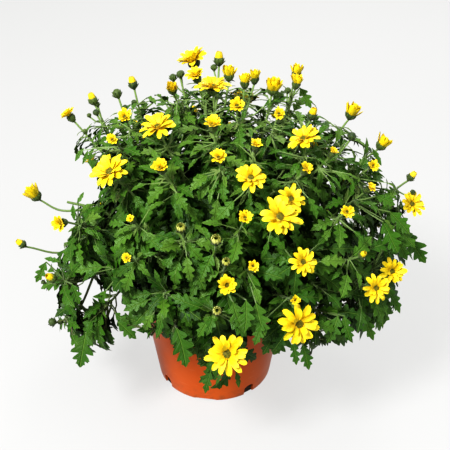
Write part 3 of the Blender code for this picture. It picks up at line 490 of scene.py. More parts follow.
def shoot_to(index, stem, end, face, backset, head):
    """A shoot that leaves its stem some way back from the nearest point and ends along face."""
    reach = stem.points[1:]
    shares = [step / SHOOT_STARTS for step in range(4, SHOOT_STARTS + 1)]
    nearest = min(shares, key=lambda share: (point_along(reach, share) - end).length)
    gap = (point_along(reach, nearest) - end).length
    start = point_along(reach, max(nearest - backset * gap / curve_length(reach), SHOOT_LOWEST))
    bend = end - face * (SHOOT_BEND * (end - start).length)
    points = bezier(start, bend, end, SHOOT_STEPS)
    steps = len(points) - 1
    radii = [SHOOT_RADIUS + (SHOOT_TIP_RADIUS - SHOOT_RADIUS) * step / steps for step in range(steps + 1)]
    return Shoot(index, points, radii, head)


def spread_of(head):
    """Places across a bloom, out to its rim."""
    side, other = head_frame(head)
    places = [head.place]
    for share in (0.25, 0.5):
        for step in range(6):
            turn = math.pi * step / 3
            places.append(head.place + (side * math.cos(turn) + other * math.sin(turn)) * head.width * share)
    return places


def free_shoot(place, face, head, stems, territory, heads):
    """The first shoot to a place that stays clear of other stems and of the blooms so far."""
    end = place - face * calyx_depth(head) if head else place
    for index in territory.nearest(end, 3):
        for backset in SHOOT_BACKSETS:
            shoot = shoot_to(index, stems[index], end, face, backset, head)
            spots = [point_along(shoot.points, share / 20) for share in range(21)]
            if territory.clearance(index, spots) < SHOOT_CLEARANCE:
                continue
            if any(in_head(spot, heads) or in_pot(spot) for spot in spots[1:]):
                continue
            if head and territory.distances(spread_of(head)).min() < SHOOT_CLEARANCE:
                continue
            return shoot
    return None


def place_heads(wanted, stems, territory):
    """Each head on its stalk, inner ones first, pulled in where it would not stand clear."""
    heads, shoots = [], []
    for head in sorted(wanted, key=lambda head: (head.place - DOME_CENTRE).length):
        for pull in HEAD_PULLS:
            inward = blend(head.place, DOME_CENTRE, pull)
            moved = head._replace(place=inward)
            apart = [(inward - other.place).length for other in heads]
            wished = [HEAD_APART * (head.width + other.width) for other in heads]
            if min((gap - wish for gap, wish in zip(apart, wished)), default=0) < 0:
                continue
            shoot = free_shoot(inward, head.face, moved, stems, territory, heads)
            if shoot:
                heads.append(moved)
                shoots.append(shoot)
                territory.add(shoot.stem, shoot.points)
                break
    return heads, shoots


def filler_shoots(stems, territory, heads, shoots):
    """Leafy shoots that close the dome between the flower stalks."""
    found = []
    tips = [shoot.points[-1] for shoot in shoots]
    for heading in spiral_headings(FILLER_TRIES, FOLIAGE_LOWEST):
        place = dome_point(heading, LEAF_DOME * FILLER_SCALE)
        if place.z < skirt(place) + FILLER_RISE or min((place - tip).length for tip in tips) < SHOOT_SPACING:
            continue
        if not in_outline([place]):
            continue
        shoot = free_shoot(place, dome_normal(place), None, stems, territory, heads)
        if shoot:
            found.append(shoot)
            tips.append(place)
            territory.add(shoot.stem, shoot.points)
    return found


def skirt(place):
    """The height that the leaves hang down to at a place round the pot."""
    angle = abs(math.degrees(math.atan2(place.x, -place.y)))
    if angle < TUFT_HALF_ANGLE:
        return SKIRT_TUFT
    if angle < FRONT_HALF_ANGLE:
        return SKIRT_FRONT
    return SKIRT_SIDE


def pot_radius(height):
    """The outer radius of the pot's tapered wall."""
    return POT_BASE_RADIUS + POT_TAPER * height


def in_pot(place):
    """Whether a place is in the pot, its lip or its soil, with 2 mm to spare."""
    out = math.hypot(place.x, place.y)
    if place.z > POT_HEIGHT + POT_CLEARANCE:
        return False
    if place.z > SOIL_CROWN + POT_CLEARANCE and out < pot_radius(POT_HEIGHT) - POT_WALL - POT_CLEARANCE:
        return False
    return out < pot_radius(POT_HEIGHT) + LIP_REACH + POT_CLEARANCE


def in_head(place, heads):
    """Whether a place is within a bloom or the calyx below it."""
    for head in heads:
        off = place - head.place
        rise = off.dot(head.face)
        out = (off - head.face * rise).length
        if -calyx_depth(head) - BELOW_HEAD < rise < ABOVE_HEAD and out < head.width / 2 + HEAD_CLEARANCE:
            return True
    return False


def hides_head(place, heads):
    """Whether a place stands between the photograph's eye and a bloom."""
    off = place - EYE
    for head in heads:
        sight = head.place - EYE
        share = off.dot(sight) / sight.dot(sight)
        if share < 0.99 and (off - sight * share).length < head.width * 0.5:
            return True
    return False


def leaf_outline(length):
    """The outline that suits a leaf's length."""
    if length >= LARGE_LEAF:
        return LARGE_OUTLINE
    return MIDDLE_OUTLINE if length >= MIDDLE_LEAF else SMALL_OUTLINE


def blade_points(leaf):
    """The leaf's rim, right side then left side, and its tip, arched and folded up at the rib."""
    side = leaf.along.cross(leaf.normal)
    rim = []
    for hand in (1, -1):
        for out, up in leaf.outline:
            rise = BLADE_FOLD * out - BLADE_ARCH * up * up
            rim.append(leaf.base + (leaf.along * up + side * hand * out + leaf.normal * rise) * leaf.length)
    return rim, leaf.base + (leaf.along - leaf.normal * BLADE_ARCH) * leaf.length


def leaf_marks(leaf):
    """Places on a blade that tell how near two blades are."""
    side = leaf.along.cross(leaf.normal)
    spots = ((0, 0.35), (0, 0.7), (0, 1), (0.3, 0.55), (-0.3, 0.55))
    return np.array([leaf.base + (leaf.along * up + side * out) * leaf.length for out, up in spots])


def leaf_fits(leaf, territory, heads, marks):
    """Whether a blade is clear of the pot, the heads, the other blades and the stems."""
    rim, tip = blade_points(leaf)
    places = rim + [tip, leaf.base]
    own = leaf_marks(leaf)
    if marks and np.linalg.norm(np.concatenate(marks)[:, None] - own[None], axis=2).min() < BLADE_SPACING:
        return False
    if territory.distances(rim + [tip])[:, leaf.stem].min() < STEM_SPACING:
        return False
    if any(place.z < skirt(place) or in_pot(place) for place in places):
        return False
    centre = leaf.base + leaf.along * leaf.length * 0.5
    if any(in_head(place, heads) or hides_head(place, heads) for place in places + [centre]):
        return False
    return in_outline(places) and territory.holds(leaf.stem, places, MARGIN)


def leaf_size(place):
    """Leaves are large low down and small near the top."""
    height = (place.z - SKIRT_SIDE) / (DOME_CENTRE.z + DOME_UP - SKIRT_SIDE)
    return LEAF_LOW + (LEAF_HIGH - LEAF_LOW) * min(max(height, 0), 1) ** LEAF_TAPER


def leaf_roots(stems, shoots):
    """Places on each stem and its shoots that a leaf can grow from."""
    roots = [[] for stem in stems]
    curves = [(index, stem.points[2:], 0.1, 1.0) for index, stem in enumerate(stems)]
    curves += [(shoot.stem, shoot.points, 0.2, 0.8 if shoot.head else 1.0) for shoot in shoots]
    for index, points, first, last in curves:
        count = max(int(curve_length(points) * (last - first) / ROOT_SPACING), 1)
        shares = [first + (last - first) * step / count for step in range(count + 1)]
        roots[index] += [point_along(points, share) for share in shares]
    return roots


def leaf_over(target, index, roots, length, swing):
    """A leaf laid over a place on the dome, from the root that suits it best."""
    outward = dome_normal(target)
    fall = across(outward, Vector((target.x, target.y, FALL)))
    fall = (fall * math.cos(swing) + outward.cross(fall) * math.sin(swing)).normalized()
    lift = LEAF_LIFT * max(outward.z, 0)
    tip = target + fall * length * 0.5 + outward * length * lift
    wish = tip - fall * (length + PETIOLE) - outward * (LEAF_DEPTH + length * lift)
    root = min(roots[index], key=lambda spot: (spot - wish).length)
    along = (tip - root).normalized()
    petiole = min(max((tip - root).length - length, PETIOLE_SHORT), PETIOLE_LONG)
    normal = across(along, outward + UP * 0.5)
    return Leaf(index, root, root + along * petiole, along, normal, length, leaf_outline(length))


def grow_leaves(stems, shoots, territory, heads):
    """Leaves spread evenly over the dome, each turned or shrunk till it fits."""
    leaves, marks = [], []
    draw = random.Random(SEED + 1)
    roots = leaf_roots(stems, shoots)
    for heading in spiral_headings(LEAF_COUNT, FOLIAGE_LOWEST):
        reach = LEAF_DOME + LEAF_RIGHT * max(heading.x, 0) - draw.uniform(0, LEAF_SCATTER)
        target = dome_point(heading, reach)
        size = leaf_size(target) * draw.uniform(*LEAF_SIZES)
        turn = draw.uniform(-LEAF_SWING, LEAF_SWING)
        for index in territory.nearest(target, 2):
            leaf = fitting_leaf(target, index, roots, size, turn, territory, heads, marks)
            if leaf:
                leaves.append(leaf)
                marks.append(leaf_marks(leaf))
                roots[index].remove(leaf.root)
                break
    return leaves


def fitting_leaf(target, index, roots, size, turn, territory, heads, marks):
    """The first leaf for a place that fits, or none."""
    for shrink, swing in LEAF_TRIES:
        leaf = leaf_over(target, index, roots, size * shrink, turn + swing)
        if leaf_fits(leaf, territory, heads, marks):
            return leaf
    return None


def grow_plant():
    """The whole layout: stems, heads, shoots and leaves."""
    stems = grow_stems()
    territory = Territory(stems)
    wanted = seen_heads()
    heads, shoots = place_heads(wanted + heads_behind(wanted), stems, territory)
    shoots += filler_shoots(stems, territory, heads, shoots)
    leaves = grow_leaves(stems, shoots, territory, heads)
    return stems, heads, shoots, leaves


# Colours: dark and light of each surface, then its marks
STALK_COLOURS = ((0.07, 0.13, 0.025), (0.17, 0.27, 0.06))
WOOD_COLOUR = (0.11, 0.055, 0.03)
STREAK_COLOUR = (0.25, 0.34, 0.12)
CALYX_COLOURS = ((0.020, 0.046, 0.007), (0.090, 0.140, 0.018))
SCALE_RIM = (0.28, 0.32, 0.07)
POT_COLOURS = ((0.66, 0.118, 0.014), (0.72, 0.145, 0.020))
FOOT_PATCH_COLOUR = (0.20, 0.085, 0.035)
SCUFF_COLOUR = (0.86, 0.42, 0.22)
LEAF_PALE = (0.16, 0.27, 0.05)
UNDER_PALE = (0.20, 0.30, 0.09)
EARTH = ((0.012, 0.007, 0.004), (0.06, 0.034, 0.02))
GRIT = ((0.45, 0.43, 0.38), (0.65, 0.62, 0.56))
DISC_OLIVE = ((0.07, 0.09, 0.006), (0.24, 0.20, 0.012))
DISC_GOLD = ((0.62, 0.33, 0.004), (0.85, 0.60, 0.01))

# Petal colours: foot, end and throat
YELLOW = ((0.74, 0.555, 0.004), (0.86, 0.70, 0.012), (0.66, 0.42, 0.002))
YOUNG_YELLOW = ((0.62, 0.64, 0.12), (0.80, 0.80, 0.30), (0.36, 0.42, 0.05))

# Pairs of veins on a blade, and the heights over which leaves and stalks grow younger
VEIN_COUNT = 6.5
YOUNG_HEIGHTS = (0.12, 0.30)

# Light: strengths of the sky and the ground, and each lamp's place, target, size and power
SKY_LIGHT = 0.42
GROUND_LIGHT = 0.05
SKY_SPAN = (-0.1, 0.6)
LAMPS = {
    "key": ((-0.7, -0.9, 1.5), (0, 0, 0.15), 0.5, 36),
    "fill": ((1.1, -0.8, 0.9), (0, 0, 0.15), 1.0, 5),
    "front": ((-0.3, -1.2, 0.22), (0, 0, 0.12), 0.5, 3),
    "back": ((0.5, 1.3, 1.3), (0, 0, 0.2), 0.8, 9),
}

# Studio: a floor that glows a little, and a wall far round it
FLOOR_COLOUR = (0.12, 0.12, 0.12, 1)
GLOW_COLOUR = (1, 1, 0.99, 1)
FLOOR_GLOW = 0.49
FLOOR_REACH = 24.0
WALL_REACH = 20.0
WALL_HEIGHT = 14.0
WALL_SIDES = 96

# Fine pieces: half outlines of blades, as half widths and heights, base to tip
LARGE_EDGE = (
    (0.025, 0.00), (0.04, 0.07), (0.07, 0.13), (0.15, 0.16), (0.23, 0.21), (0.245, 0.27), (0.19, 0.295),
    (0.11, 0.295), (0.075, 0.315), (0.13, 0.375), (0.24, 0.42), (0.32, 0.49), (0.345, 0.575), (0.27, 0.585),
    (0.18, 0.575), (0.10, 0.575), (0.13, 0.64), (0.22, 0.69), (0.265, 0.765), (0.20, 0.785), (0.12, 0.775),
    (0.12, 0.83), (0.145, 0.89), (0.09, 0.905), (0.06, 0.945), (0.03, 0.98),
)
MIDDLE_EDGE = (
    (0.025, 0.00), (0.05, 0.10), (0.12, 0.17), (0.21, 0.24), (0.235, 0.31), (0.18, 0.335), (0.095, 0.345),
    (0.13, 0.41), (0.23, 0.47), (0.295, 0.56), (0.25, 0.60), (0.13, 0.61), (0.12, 0.66), (0.18, 0.72),
    (0.20, 0.80), (0.11, 0.82), (0.075, 0.90), (0.03, 0.965),
)
NARROW_EDGE = (
    (0.02, 0.00), (0.05, 0.14), (0.10, 0.26), (0.17, 0.36), (0.18, 0.43), (0.12, 0.48), (0.13, 0.56),
    (0.175, 0.64), (0.13, 0.71), (0.10, 0.80), (0.05, 0.92),
)
BRACT_EDGE = ((0.03, 0.00), (0.09, 0.25), (0.12, 0.50), (0.08, 0.78))
SCALE_EDGE = ((0.20, 0.00), (0.28, 0.35), (0.20, 0.70))
RIB_REACH = 0.94
VEIN_SLOPE = 0.6
BLADE_HALF = 0.00022
LOBE_DROOP = 0.25
BLADE_WAVE = 0.11

# Stalks of leaves: sag, thickness for a blade's length, radii, and how the midrib runs on below it
PETIOLE_SAG = 0.12
PETIOLE_LEAST = 0.0004
PETIOLE_GROWTH = 0.012
PETIOLE_RADII = (1.15, 1, 0.9, 0.6, 0.25)
PETIOLE_DROP = 0.0003
MIDRIB = ((0.22, 0.0004), (0.45, 0.0002))
SMALL_STALK = (0.0007, 0.0006, 0.0003)
TUBE_SIDES = {"stem": 9, "shoot": 7, "petiole": 5, "small": 4}

# How the frame's leaves vary in swing, width and tone
FRAME_FOLD = 0.08
FRAME_SWING = 0.06
FRAME_WIDTHS = (0.85, 1)
FRAME_TONES = (0.05, 0.75)

# Extra leaves along the stems and shoots, and others that fill the shell under the blooms
EXTRA_STEP = 0.0065
EXTRA_LIFT = (48, 72)
EXTRA_SIZES = (0.62, 1.05)
EXTRA_STALKS = (0.12, 0.25)
EXTRA_ARCHES = (0.15, 0.6)
EXTRA_FOLDS = (0.12, 0.4)
EXTRA_SWING = 0.15
EXTRA_WIDTHS = (0.72, 1.05)
EXTRA_OLD = 0.030
EXTRA_AGEING = 0.018
EXTRA_TURN = 70
LARGE_SHARE = 0.9
NARROW_LEAF = 0.019
BRACT_LEAF = 0.011
TWIG_STEP = 0.004
YOUNG_STEP = 0.0032
YOUNG_REACH = 0.028
YOUNG_SIZES = (0.009, 0.017)
YOUNG_TONES = (0.75, 1.1)
SHELL_LEAVES = 3000
SHELL_TOP = 0.03
SHELL_SCALES = (0.62, 0.96)
SHELL_SIZES = (0.50, 0.90)
SHELL_REACH = 0.040
SHELL_ARCHES = (0.25, 0.8)
# How much lighter shell leaves get outward: painted shade deeper in the dome
SHELL_TONES = (0.2, 0.75)
FRINGE = 0.014
INNER_LEAVES = 500
INNER_SCALES = (0.40, 0.66)
INNER_SIZES = (0.030, 0.044)
INNER_LOWEST = -0.2
INNER_ARCHES = (0.1, 0.4)
SEEN_ARCH = 0.15
SEEN_TONE = 0.45

# Leaves seen in the photograph: base across and down, tip across and down in pixels, mm nearer than the dome
SEEN_LEAVES = (
    (86, 333, 79, 369, -12), (118, 322, 137, 339, -14), (72, 284, 80, 305, -8), (58, 272, 56, 297, -4),
    (211, 371, 203, 394, -6), (222, 372, 215, 386, -3), (236, 371, 241, 388, -6), (238, 343, 272, 371, -10),
    (176, 328, 191, 367, -8), (293, 342, 298, 366, -8), (303, 345, 310, 371, -6), (406, 232, 423, 266, -4),
    (394, 232, 406, 262, -8), (338, 316, 330, 345, -8), (344, 316, 349, 343, -6), (362, 312, 374, 342, -8),
    (386, 288, 405, 311, -8), (384, 296, 387, 327, -10), (233, 302, 240, 333, -8), (246, 300, 249, 334, -4),
    (256, 303, 262, 338, -8), (268, 308, 272, 342, -8), (240, 318, 245, 344, -2), (262, 322, 256, 347, -2),
    (205, 318, 213, 345, -6), (162, 318, 158, 340, -8), (70, 202, 60, 213, 2), (73, 204, 72, 221, 0),
    (77, 204, 84, 192, 0), (92, 166, 84, 190, -2), (96, 168, 93, 193, -4), (84, 148, 73, 160, 0),
    (88, 150, 84, 165, 0), (300, 88, 312, 108, -4), (316, 120, 324, 143, -2), (390, 212, 412, 234, -4),
    (396, 224, 415, 250, -6), (383, 222, 399, 254, -2), (380, 238, 394, 268, -4), (390, 246, 404, 268, -4),
    (376, 196, 396, 206, -4), (372, 148, 382, 166, -6), (46, 262, 37, 284, -2), (60, 262, 44, 257, -2),
    (56, 264, 43, 269, -2), (56, 281, 58, 302, -4),
)

# Green side buds seen in the photograph: pixel across, pixel down, width in mm
SEEN_SIDE_BUDS = (
    (97, 104, 5), (89, 115, 4), (85, 131, 5), (173, 77, 7), (181, 73, 6), (214, 67, 6), (288, 90, 6),
    (125, 107, 5), (134, 102, 5), (152, 100, 5), (413, 192, 5), (43, 282, 4), (60, 322, 5), (290, 142, 4),
)
SIDE_BUD_REACH = 0.020
SIDE_BUD_DEPTH = 0.06
SIDE_BUD_STALK = (0.0008, 0.0007, 0.0008)

# Petals: columns from edge to edge, how far each reaches, and half widths along the petal
PETAL_COLUMNS = (-1, -0.5, 0, 0.5, 1)
PETAL_END = (0.86, 1.0, 0.92, 0.98, 0.84)
PETAL_ROWS = 6
PETAL_SPOTS = (0, 0.25, 0.6, 0.85, 1)
PETAL_WIDTHS = (0.46, 0.78, 1.0, 0.80, 0.36)
PETAL_HALF = 0.00022
PETAL_STEPS = 14
PETAL_TROUGH = 0.30
PETAL_RIDGE = 0.05
PETAL_TWIST = 14
PETAL_SWING = 0.10
PETAL_TURNS = 0.24
PETAL_LONGEST = 1.05
PETAL_HALVES = (0.82, 1.12)

# Rows of petals: count, half width as a share of the bloom's radius, angles at foot and end, turn
HALF_OPEN_ROWS = ((12, 0.19, (42, 6), 0), (9, 0.18, (62, 36), 0.5), (6, 0.16, (80, 58), 0.2))
WIDEST_ROWS = ((12, 0.175, (26, -8), 0), (7, 0.155, (48, 14), 0.5), (4, 0.13, (62, 34), 0.3))
WIDE_ROWS = ((11, 0.175, (26, -8), 0),) + WIDEST_ROWS[1:]
SMALL_ROWS = ((12, 0.20, (58, 22), 0), (8, 0.17, (76, 50), 0.5))
ROWS_BY_WIDTH = ((0.029, WIDEST_ROWS), (0.022, WIDE_ROWS), (0, SMALL_ROWS))
ROW_SPREAD = 11
ROW_SHORTEST = 0.76

# Rows of a cup's petals: count, radius, length, half width, angles, turn, depth and spread
CUP_ROWS = (
    (10, 0.24, 0.82, 0.17, (62, 76), 0, 0.26, 11),
    (8, 0.15, 0.86, 0.15, (74, 84), 0.5, 0.24, 10),
    (5, 0.06, 0.80, 0.13, (84, 92), 0.2, 0.22, 8),
)
CUP_SHORTEST = 0.78

# A bud, in shares of its width: rings of petals (count, radius, length), the green ball's radii and
# heights, and rows of scales (count, radius, height, length, lean)
BUD_RINGS = ((9, 0.34, 0.78), (7, 0.22, 0.72), (4, 0.10, 0.6))
BUD_BALL = ((0.22, -0.46), (0.42, -0.26), (0.46, 0), (0.40, 0.2), (0.22, 0.38), (0.05, 0.43))
PALE_BALL = BUD_BALL[:2] + ((0.30, -0.1), (0.1, 0))
BUD_SCALES = ((7, 0.24, -0.46, 0.55, 48), (8, 0.40, -0.25, 0.5, 14), (8, 0.45, 0.0, 0.46, -28))
BUD_FOOT = 0.0011

# The pot's and the soil's fine surface: sides round, rings, loose crumbs and their grit
POT_SIDES = 144
POT_SHARP = 35
SOIL_SIDES = 96
SOIL_RINGS = 30
SOIL_SHOULDER = 0.004
CRUMBS = 420
CRUMB_SIZES = (0.0006, 0.0019)
GRIT_SHARE = 0.07

# Disc florets
DISC_DOME = ((0.9, -0.4), (1, 0), (0.92, 0.4), (0.7, 0.75), (0.4, 0.95), (0.12, 1))
FLORETS_LEAST = 30
FLORETS_GROWTH = 4500
FLORET_RIM = 0.72
FLORET_LEAN = 1.1
PALE_BUDS = ("bud_centre", "bud_middle", "bud_low", "bud_low_high")
HALF_OPEN = ("crown_left", "crown_low", "left_far_top")
DISC_FINE = 0.86
GREEN_BUDS = ("bud_left_b", "bud_left_d", "bud_crown_left", "bud_right_top", "bud_left_lowest")

# Leaf colours from oldest to youngest; the darkest stops also paint the shade on leaves deep in the dome
LEAF_AGES_AND_SHADE = (
    (0.0, (0.007, 0.026, 0.001)),
    (0.22, (0.018, 0.068, 0.003)),
    (0.5, (0.045, 0.135, 0.006)),
    (0.78, (0.095, 0.185, 0.020)),
    (1.0, (0.200, 0.270, 0.085)),
)
UNDER_AGES_AND_SHADE = (
    (0.0, (0.025, 0.055, 0.006)),
    (0.5, (0.075, 0.140, 0.022)),
    (1.0, (0.150, 0.210, 0.070)),
)

Template = namedtuple("Template", "flat lift tris under")

LEAF, UNDER, STALK, CALYX = range(4)
PETAL, DISC, GOLD, PALE = range(4)


# Curves and surfaces

def unit(vector):
    """The vector at length 1."""
    return vector / np.linalg.norm(vector)


def square_to(axis, hint):
    """The unit vector nearest to hint that is square to the axis."""
    return unit(hint - axis * np.dot(hint, axis))


def smooth_curve(points, steps):
    """Points on a smooth curve through the given ones."""
    spots = array_of(points)
    padded = np.vstack([2 * spots[0] - spots[1], spots, 2 * spots[-1] - spots[-2]])
    found = []
    for k in range(len(spots) - 1):
        a, b, c, d = padded[k:k + 4]
        for share in np.arange(steps) / steps:
            bend = (2 * a - 5 * b + 4 * c - d) * share ** 2 + (3 * b - a - 3 * c + d) * share ** 3
            found.append((2 * b + (c - a) * share + bend) / 2)
    return np.array(found + [spots[-1]])


@functools.lru_cache(maxsize=None)
def ring_tris(rings, sides):
    """Triangles of a row of rings with a middle corner at each end."""
    tris = []
    last = (rings - 1) * sides
    for k in range(sides):
        after = (k + 1) % sides
        tris.append((rings * sides, after, k))
        tris.append((last + k, last + after, rings * sides + 1))
        for low in range(0, last, sides):
            high = low + sides
            tris.append((low + k, low + after, high + after))
            tris.append((low + k, high + after, high + k))
    return np.array(tris)


def tube_surface(spots, radii, sides):
    """A closed round tube, kept from twisting: corners and triangles."""
    axes = np.gradient(spots, axis=0)
    axes /= np.linalg.norm(axes, axis=1)[:, None]
    turns = 2 * np.pi * np.arange(sides) / sides
    side = square_to(axes[0], np.array((1, 0.3, 0.1)))
    rings = []
    for spot, axis, radius in zip(spots, axes, radii):
        side = square_to(axis, side)
        rim = np.outer(np.cos(turns), side) + np.outer(np.sin(turns), np.cross(axis, side))
        rings.append(spot + radius * rim)
    return np.vstack(rings + [spots[:1], spots[-1:]]), ring_tris(len(spots), sides)


def turned_surface(place, face, profile, sides):
    """A closed surface turned round a head's axis from radii and heights, lowest first."""
    side = square_to(face, np.array((0.9, 0.2, 0.1)))
    other = np.cross(face, side)
    turns = 2 * np.pi * np.arange(sides) / sides
    rim = np.outer(np.cos(turns), side) + np.outer(np.sin(turns), other)
    rings = [place + face * height + rim * radius for radius, height in profile]
    ends = [place + face * profile[0][1], place + face * profile[-1][1]]
    return np.vstack(rings + [ends]), ring_tris(len(profile), sides)


def blade_template(edge, rib_count, shares):
    """A unit blade, closed and lens-shaped, from half its outline: corners, lifts and triangles."""
    ribs = [k / rib_count * RIB_REACH for k in range(rib_count + 1)]
    serving, last = [], 0
    for out, up in edge:
        last = max(last, min(int(max(up - VEIN_SLOPE * out, 0) / RIB_REACH * rib_count), rib_count))
        serving.append(last)
    flat, lift, tris, under = [(0, 1)], [0], [], []

    def corner(out, up, height):
        flat.append((out, up))
        lift.append(height)
        return len(flat) - 1

    spines = {face: [corner(0, up, face) for up in ribs] for face in (1, -1)}
    for hand in (1, -1):
        rims = [corner(hand * out, up, 0) for out, up in edge]
        starts = []
        for face in (1, -1):
            spine, rows, found = spines[face], [], []
            for (out, up), rib, rim in zip(edge, serving, rims):
                inner = [corner(hand * out * s, ribs[rib] + (up - ribs[rib]) * s, face) for s in shares]
                rows.append([spine[rib]] + inner + [rim])
            starts.append(rows[0])
            rows.append([0] * len(rows[0]))
            for low, high, rib, after in zip(rows, rows[1:], serving, serving[1:] + [rib_count]):
                found += [(spine[k], low[1], spine[k + 1]) for k in range(rib, after)]
                found.append((spine[after], low[1], high[1]))
                for j in range(1, len(low) - 1):
                    found += [(low[j], low[j + 1], high[j + 1]), (low[j], high[j + 1], high[j])]
            found = [tri for tri in found if len(set(tri)) == 3]
            tris += found if hand * face > 0 else [tri[::-1] for tri in found]
            under += [face < 0] * len(found)
        top, low = starts
        closing = []
        for j in range(len(top) - 1):
            closing += [(top[j + 1], top[j], low[j]), (top[j + 1], low[j], low[j + 1])]
        closing = [tri for tri in closing if len(set(tri)) == 3]
        tris += closing if hand > 0 else [tri[::-1] for tri in closing]
        under += [True] * len(closing)
    return Template(np.array(flat, dtype=float), np.array(lift, dtype=float), np.array(tris), np.array(under))


def petal_template():
    """A unit petal: a closed strap with ridges and a notched end."""
    columns, rows = len(PETAL_COLUMNS), PETAL_ROWS
    flat, lift, tops, lows = [], [], {}, {}
    for i in range(rows):
        up = i / (rows - 1)
        for j, out in enumerate(PETAL_COLUMNS):
            end = 1 + (PETAL_END[j] - 1) * up ** 3
            tops[i, j] = len(flat)
            flat.append((out, up * end))
            rim = i in (0, rows - 1) or j in (0, columns - 1)
            lift.append(0 if rim else 1)
            lows[i, j] = tops[i, j]
            if not rim:
                lows[i, j] = len(flat)
                flat.append((out, up * end))
                lift.append(-1)
    tris = []
    for table, flip in ((tops, False), (lows, True)):
        for i in range(rows - 1):
            for j in range(columns - 1):
                a, b, c, d = table[i, j], table[i, j + 1], table[i + 1, j + 1], table[i + 1, j]
                turned = (i, j) in ((0, columns - 2), (rows - 2, 0))
                for tri in ((a, b, d), (b, c, d)) if turned else ((a, b, c), (a, c, d)):
                    tris.append(tri[::-1] if flip else tri)
    return Template(np.array(flat, dtype=float), np.array(lift, dtype=float), np.array(tris), None)


LARGE_BLADE = blade_template(LARGE_EDGE, 8, (0.55,))
MIDDLE_BLADE = blade_template(MIDDLE_EDGE, 6, (0.6,))
PLAIN_BLADE = blade_template(MIDDLE_EDGE, 4, ())
NARROW_BLADE = blade_template(NARROW_EDGE, 3, ())
BRACT_BLADE = blade_template(BRACT_EDGE, 3, ())
SCALE_BLADE = blade_template(SCALE_EDGE, 2, ())
STRAP = petal_template()


def petal_width(up):
    """Half width of a petal along its length, as a share of its widest."""
    return np.interp(up, PETAL_SPOTS, PETAL_WIDTHS)


def add_object(name, data):
    """A new object in the scene."""
    item = bpy.data.objects.new(name, data)
    bpy.context.collection.objects.link(item)
    return item


class Growth:
    """Closed pieces gathered into one mesh, with a finish for each face and marks for each corner."""

    def __init__(self):
        self.count = 0
        self.verts, self.tris, self.finishes, self.marks, self.tones = [], [], [], [], []

    def add(self, verts, tris, finish, marks=None, tone=0.5):
        """Adds a closed piece's corners and triangles."""
        self.verts.append(verts)
        self.tris.append(tris + self.count)
        self.finishes.append(np.broadcast_to(finish, len(tris)))
        self.marks.append(np.zeros((len(verts), 2)) if marks is None else marks)
        self.tones.append(np.full(len(verts), tone))
        self.count += len(verts)

    def build(self, name, materials, sharp=55):
        """The mesh of all that was added, smooth but for edges sharper than an angle."""
        tris = np.concatenate(self.tris)
        mesh = bpy.data.meshes.new(name)
        mesh.vertices.add(self.count)
        mesh.vertices.foreach_set("co", np.concatenate(self.verts).astype(np.float32).ravel())
        mesh.loops.add(tris.size)
        mesh.loops.foreach_set("vertex_index", tris.astype(np.int32).ravel())
        mesh.polygons.add(len(tris))
        mesh.polygons.foreach_set("loop_start", np.arange(0, tris.size, 3, dtype=np.int32))
        for material in materials:
            mesh.materials.append(material)
        mesh.polygons.foreach_set("material_index", np.concatenate(self.finishes).astype(np.int32))
        mesh.polygons.foreach_set("use_smooth", np.ones(len(tris), dtype=bool))
        mesh.update(calc_edges=True)
        marks = np.concatenate(self.marks)[tris.ravel()]
        mesh.uv_layers.new(name="marks").data.foreach_set("uv", marks.astype(np.float32).ravel())
        tone = mesh.attributes.new("tone", "FLOAT", "POINT")
        tone.data.foreach_set("value", np.concatenate(self.tones).astype(np.float32))
        mesh.set_sharp_from_angle(angle=math.radians(sharp))
        return add_object(name, mesh)


# Leaves

Bend = namedtuple("Bend", "arch fold swing phase wide")


def add_blade(growth, template, base, along, normal, length, bend, tone, finishes=(LEAF, UNDER)):
    """A blade laid along a direction, arched, folded and waved."""
    side = np.cross(along, normal)
    out, up = template.flat.T
    turn = 2 * bend.arch
    rise = -(1 - np.cos(turn * up)) / turn + bend.fold * np.abs(out) - LOBE_DROOP * out ** 2
    rise += BLADE_WAVE * np.sin(10 * up + bend.phase + 2.5 * np.sign(out)) * np.abs(out)
    across_part = out * bend.wide + bend.swing * up ** 2
    along_part = np.sin(turn * up) / turn
    spread = np.outer(across_part, side) + np.outer(along_part, along) + np.outer(rise, normal)
    verts = base + length * spread + np.outer(template.lift * BLADE_HALF, normal)
    finish = np.where(template.under, finishes[1], finishes[0])
    growth.add(verts, template.tris, finish, template.flat, tone)


def add_petiole(growth, root, base, along, normal, length, arch, tone):
    """The leaf's stalk, carried on below the blade as its midrib."""
    middle = (root + base) / 2 - normal * (np.linalg.norm(base - root) * PETIOLE_SAG)
    spots = [root, middle, base - normal * PETIOLE_DROP]
    for share, below in MIDRIB:
        spots.append(base + along * length * share - normal * (below + arch * share ** 2 * length))
    width = PETIOLE_LEAST + length * PETIOLE_GROWTH
    radii = [width * share for share in PETIOLE_RADII]
    add_tube(growth, np.array(spots), radii, TUBE_SIDES["petiole"], STALK, tone)


def add_tube(growth, spots, radii, sides, finish, tone):
    """A closed round tube through the spots."""
    verts, tris = tube_surface(spots, radii, sides)
    growth.add(verts, tris, finish, None, tone)


def leaf_template(length):
    """The fine blade that suits a leaf's length."""
    if length >= LARGE_LEAF * LARGE_SHARE:
        return LARGE_BLADE
    if length >= NARROW_LEAF:
        return MIDDLE_BLADE
    return NARROW_BLADE if length >= BRACT_LEAF else BRACT_BLADE


def random_bend(draw, arch, fold, swing, widths):
    """A bend with a swing, a phase of its waves and a width of its own."""
    return Bend(arch, fold, draw.uniform(-swing, swing), draw.uniform(0, 6), draw.uniform(*widths))


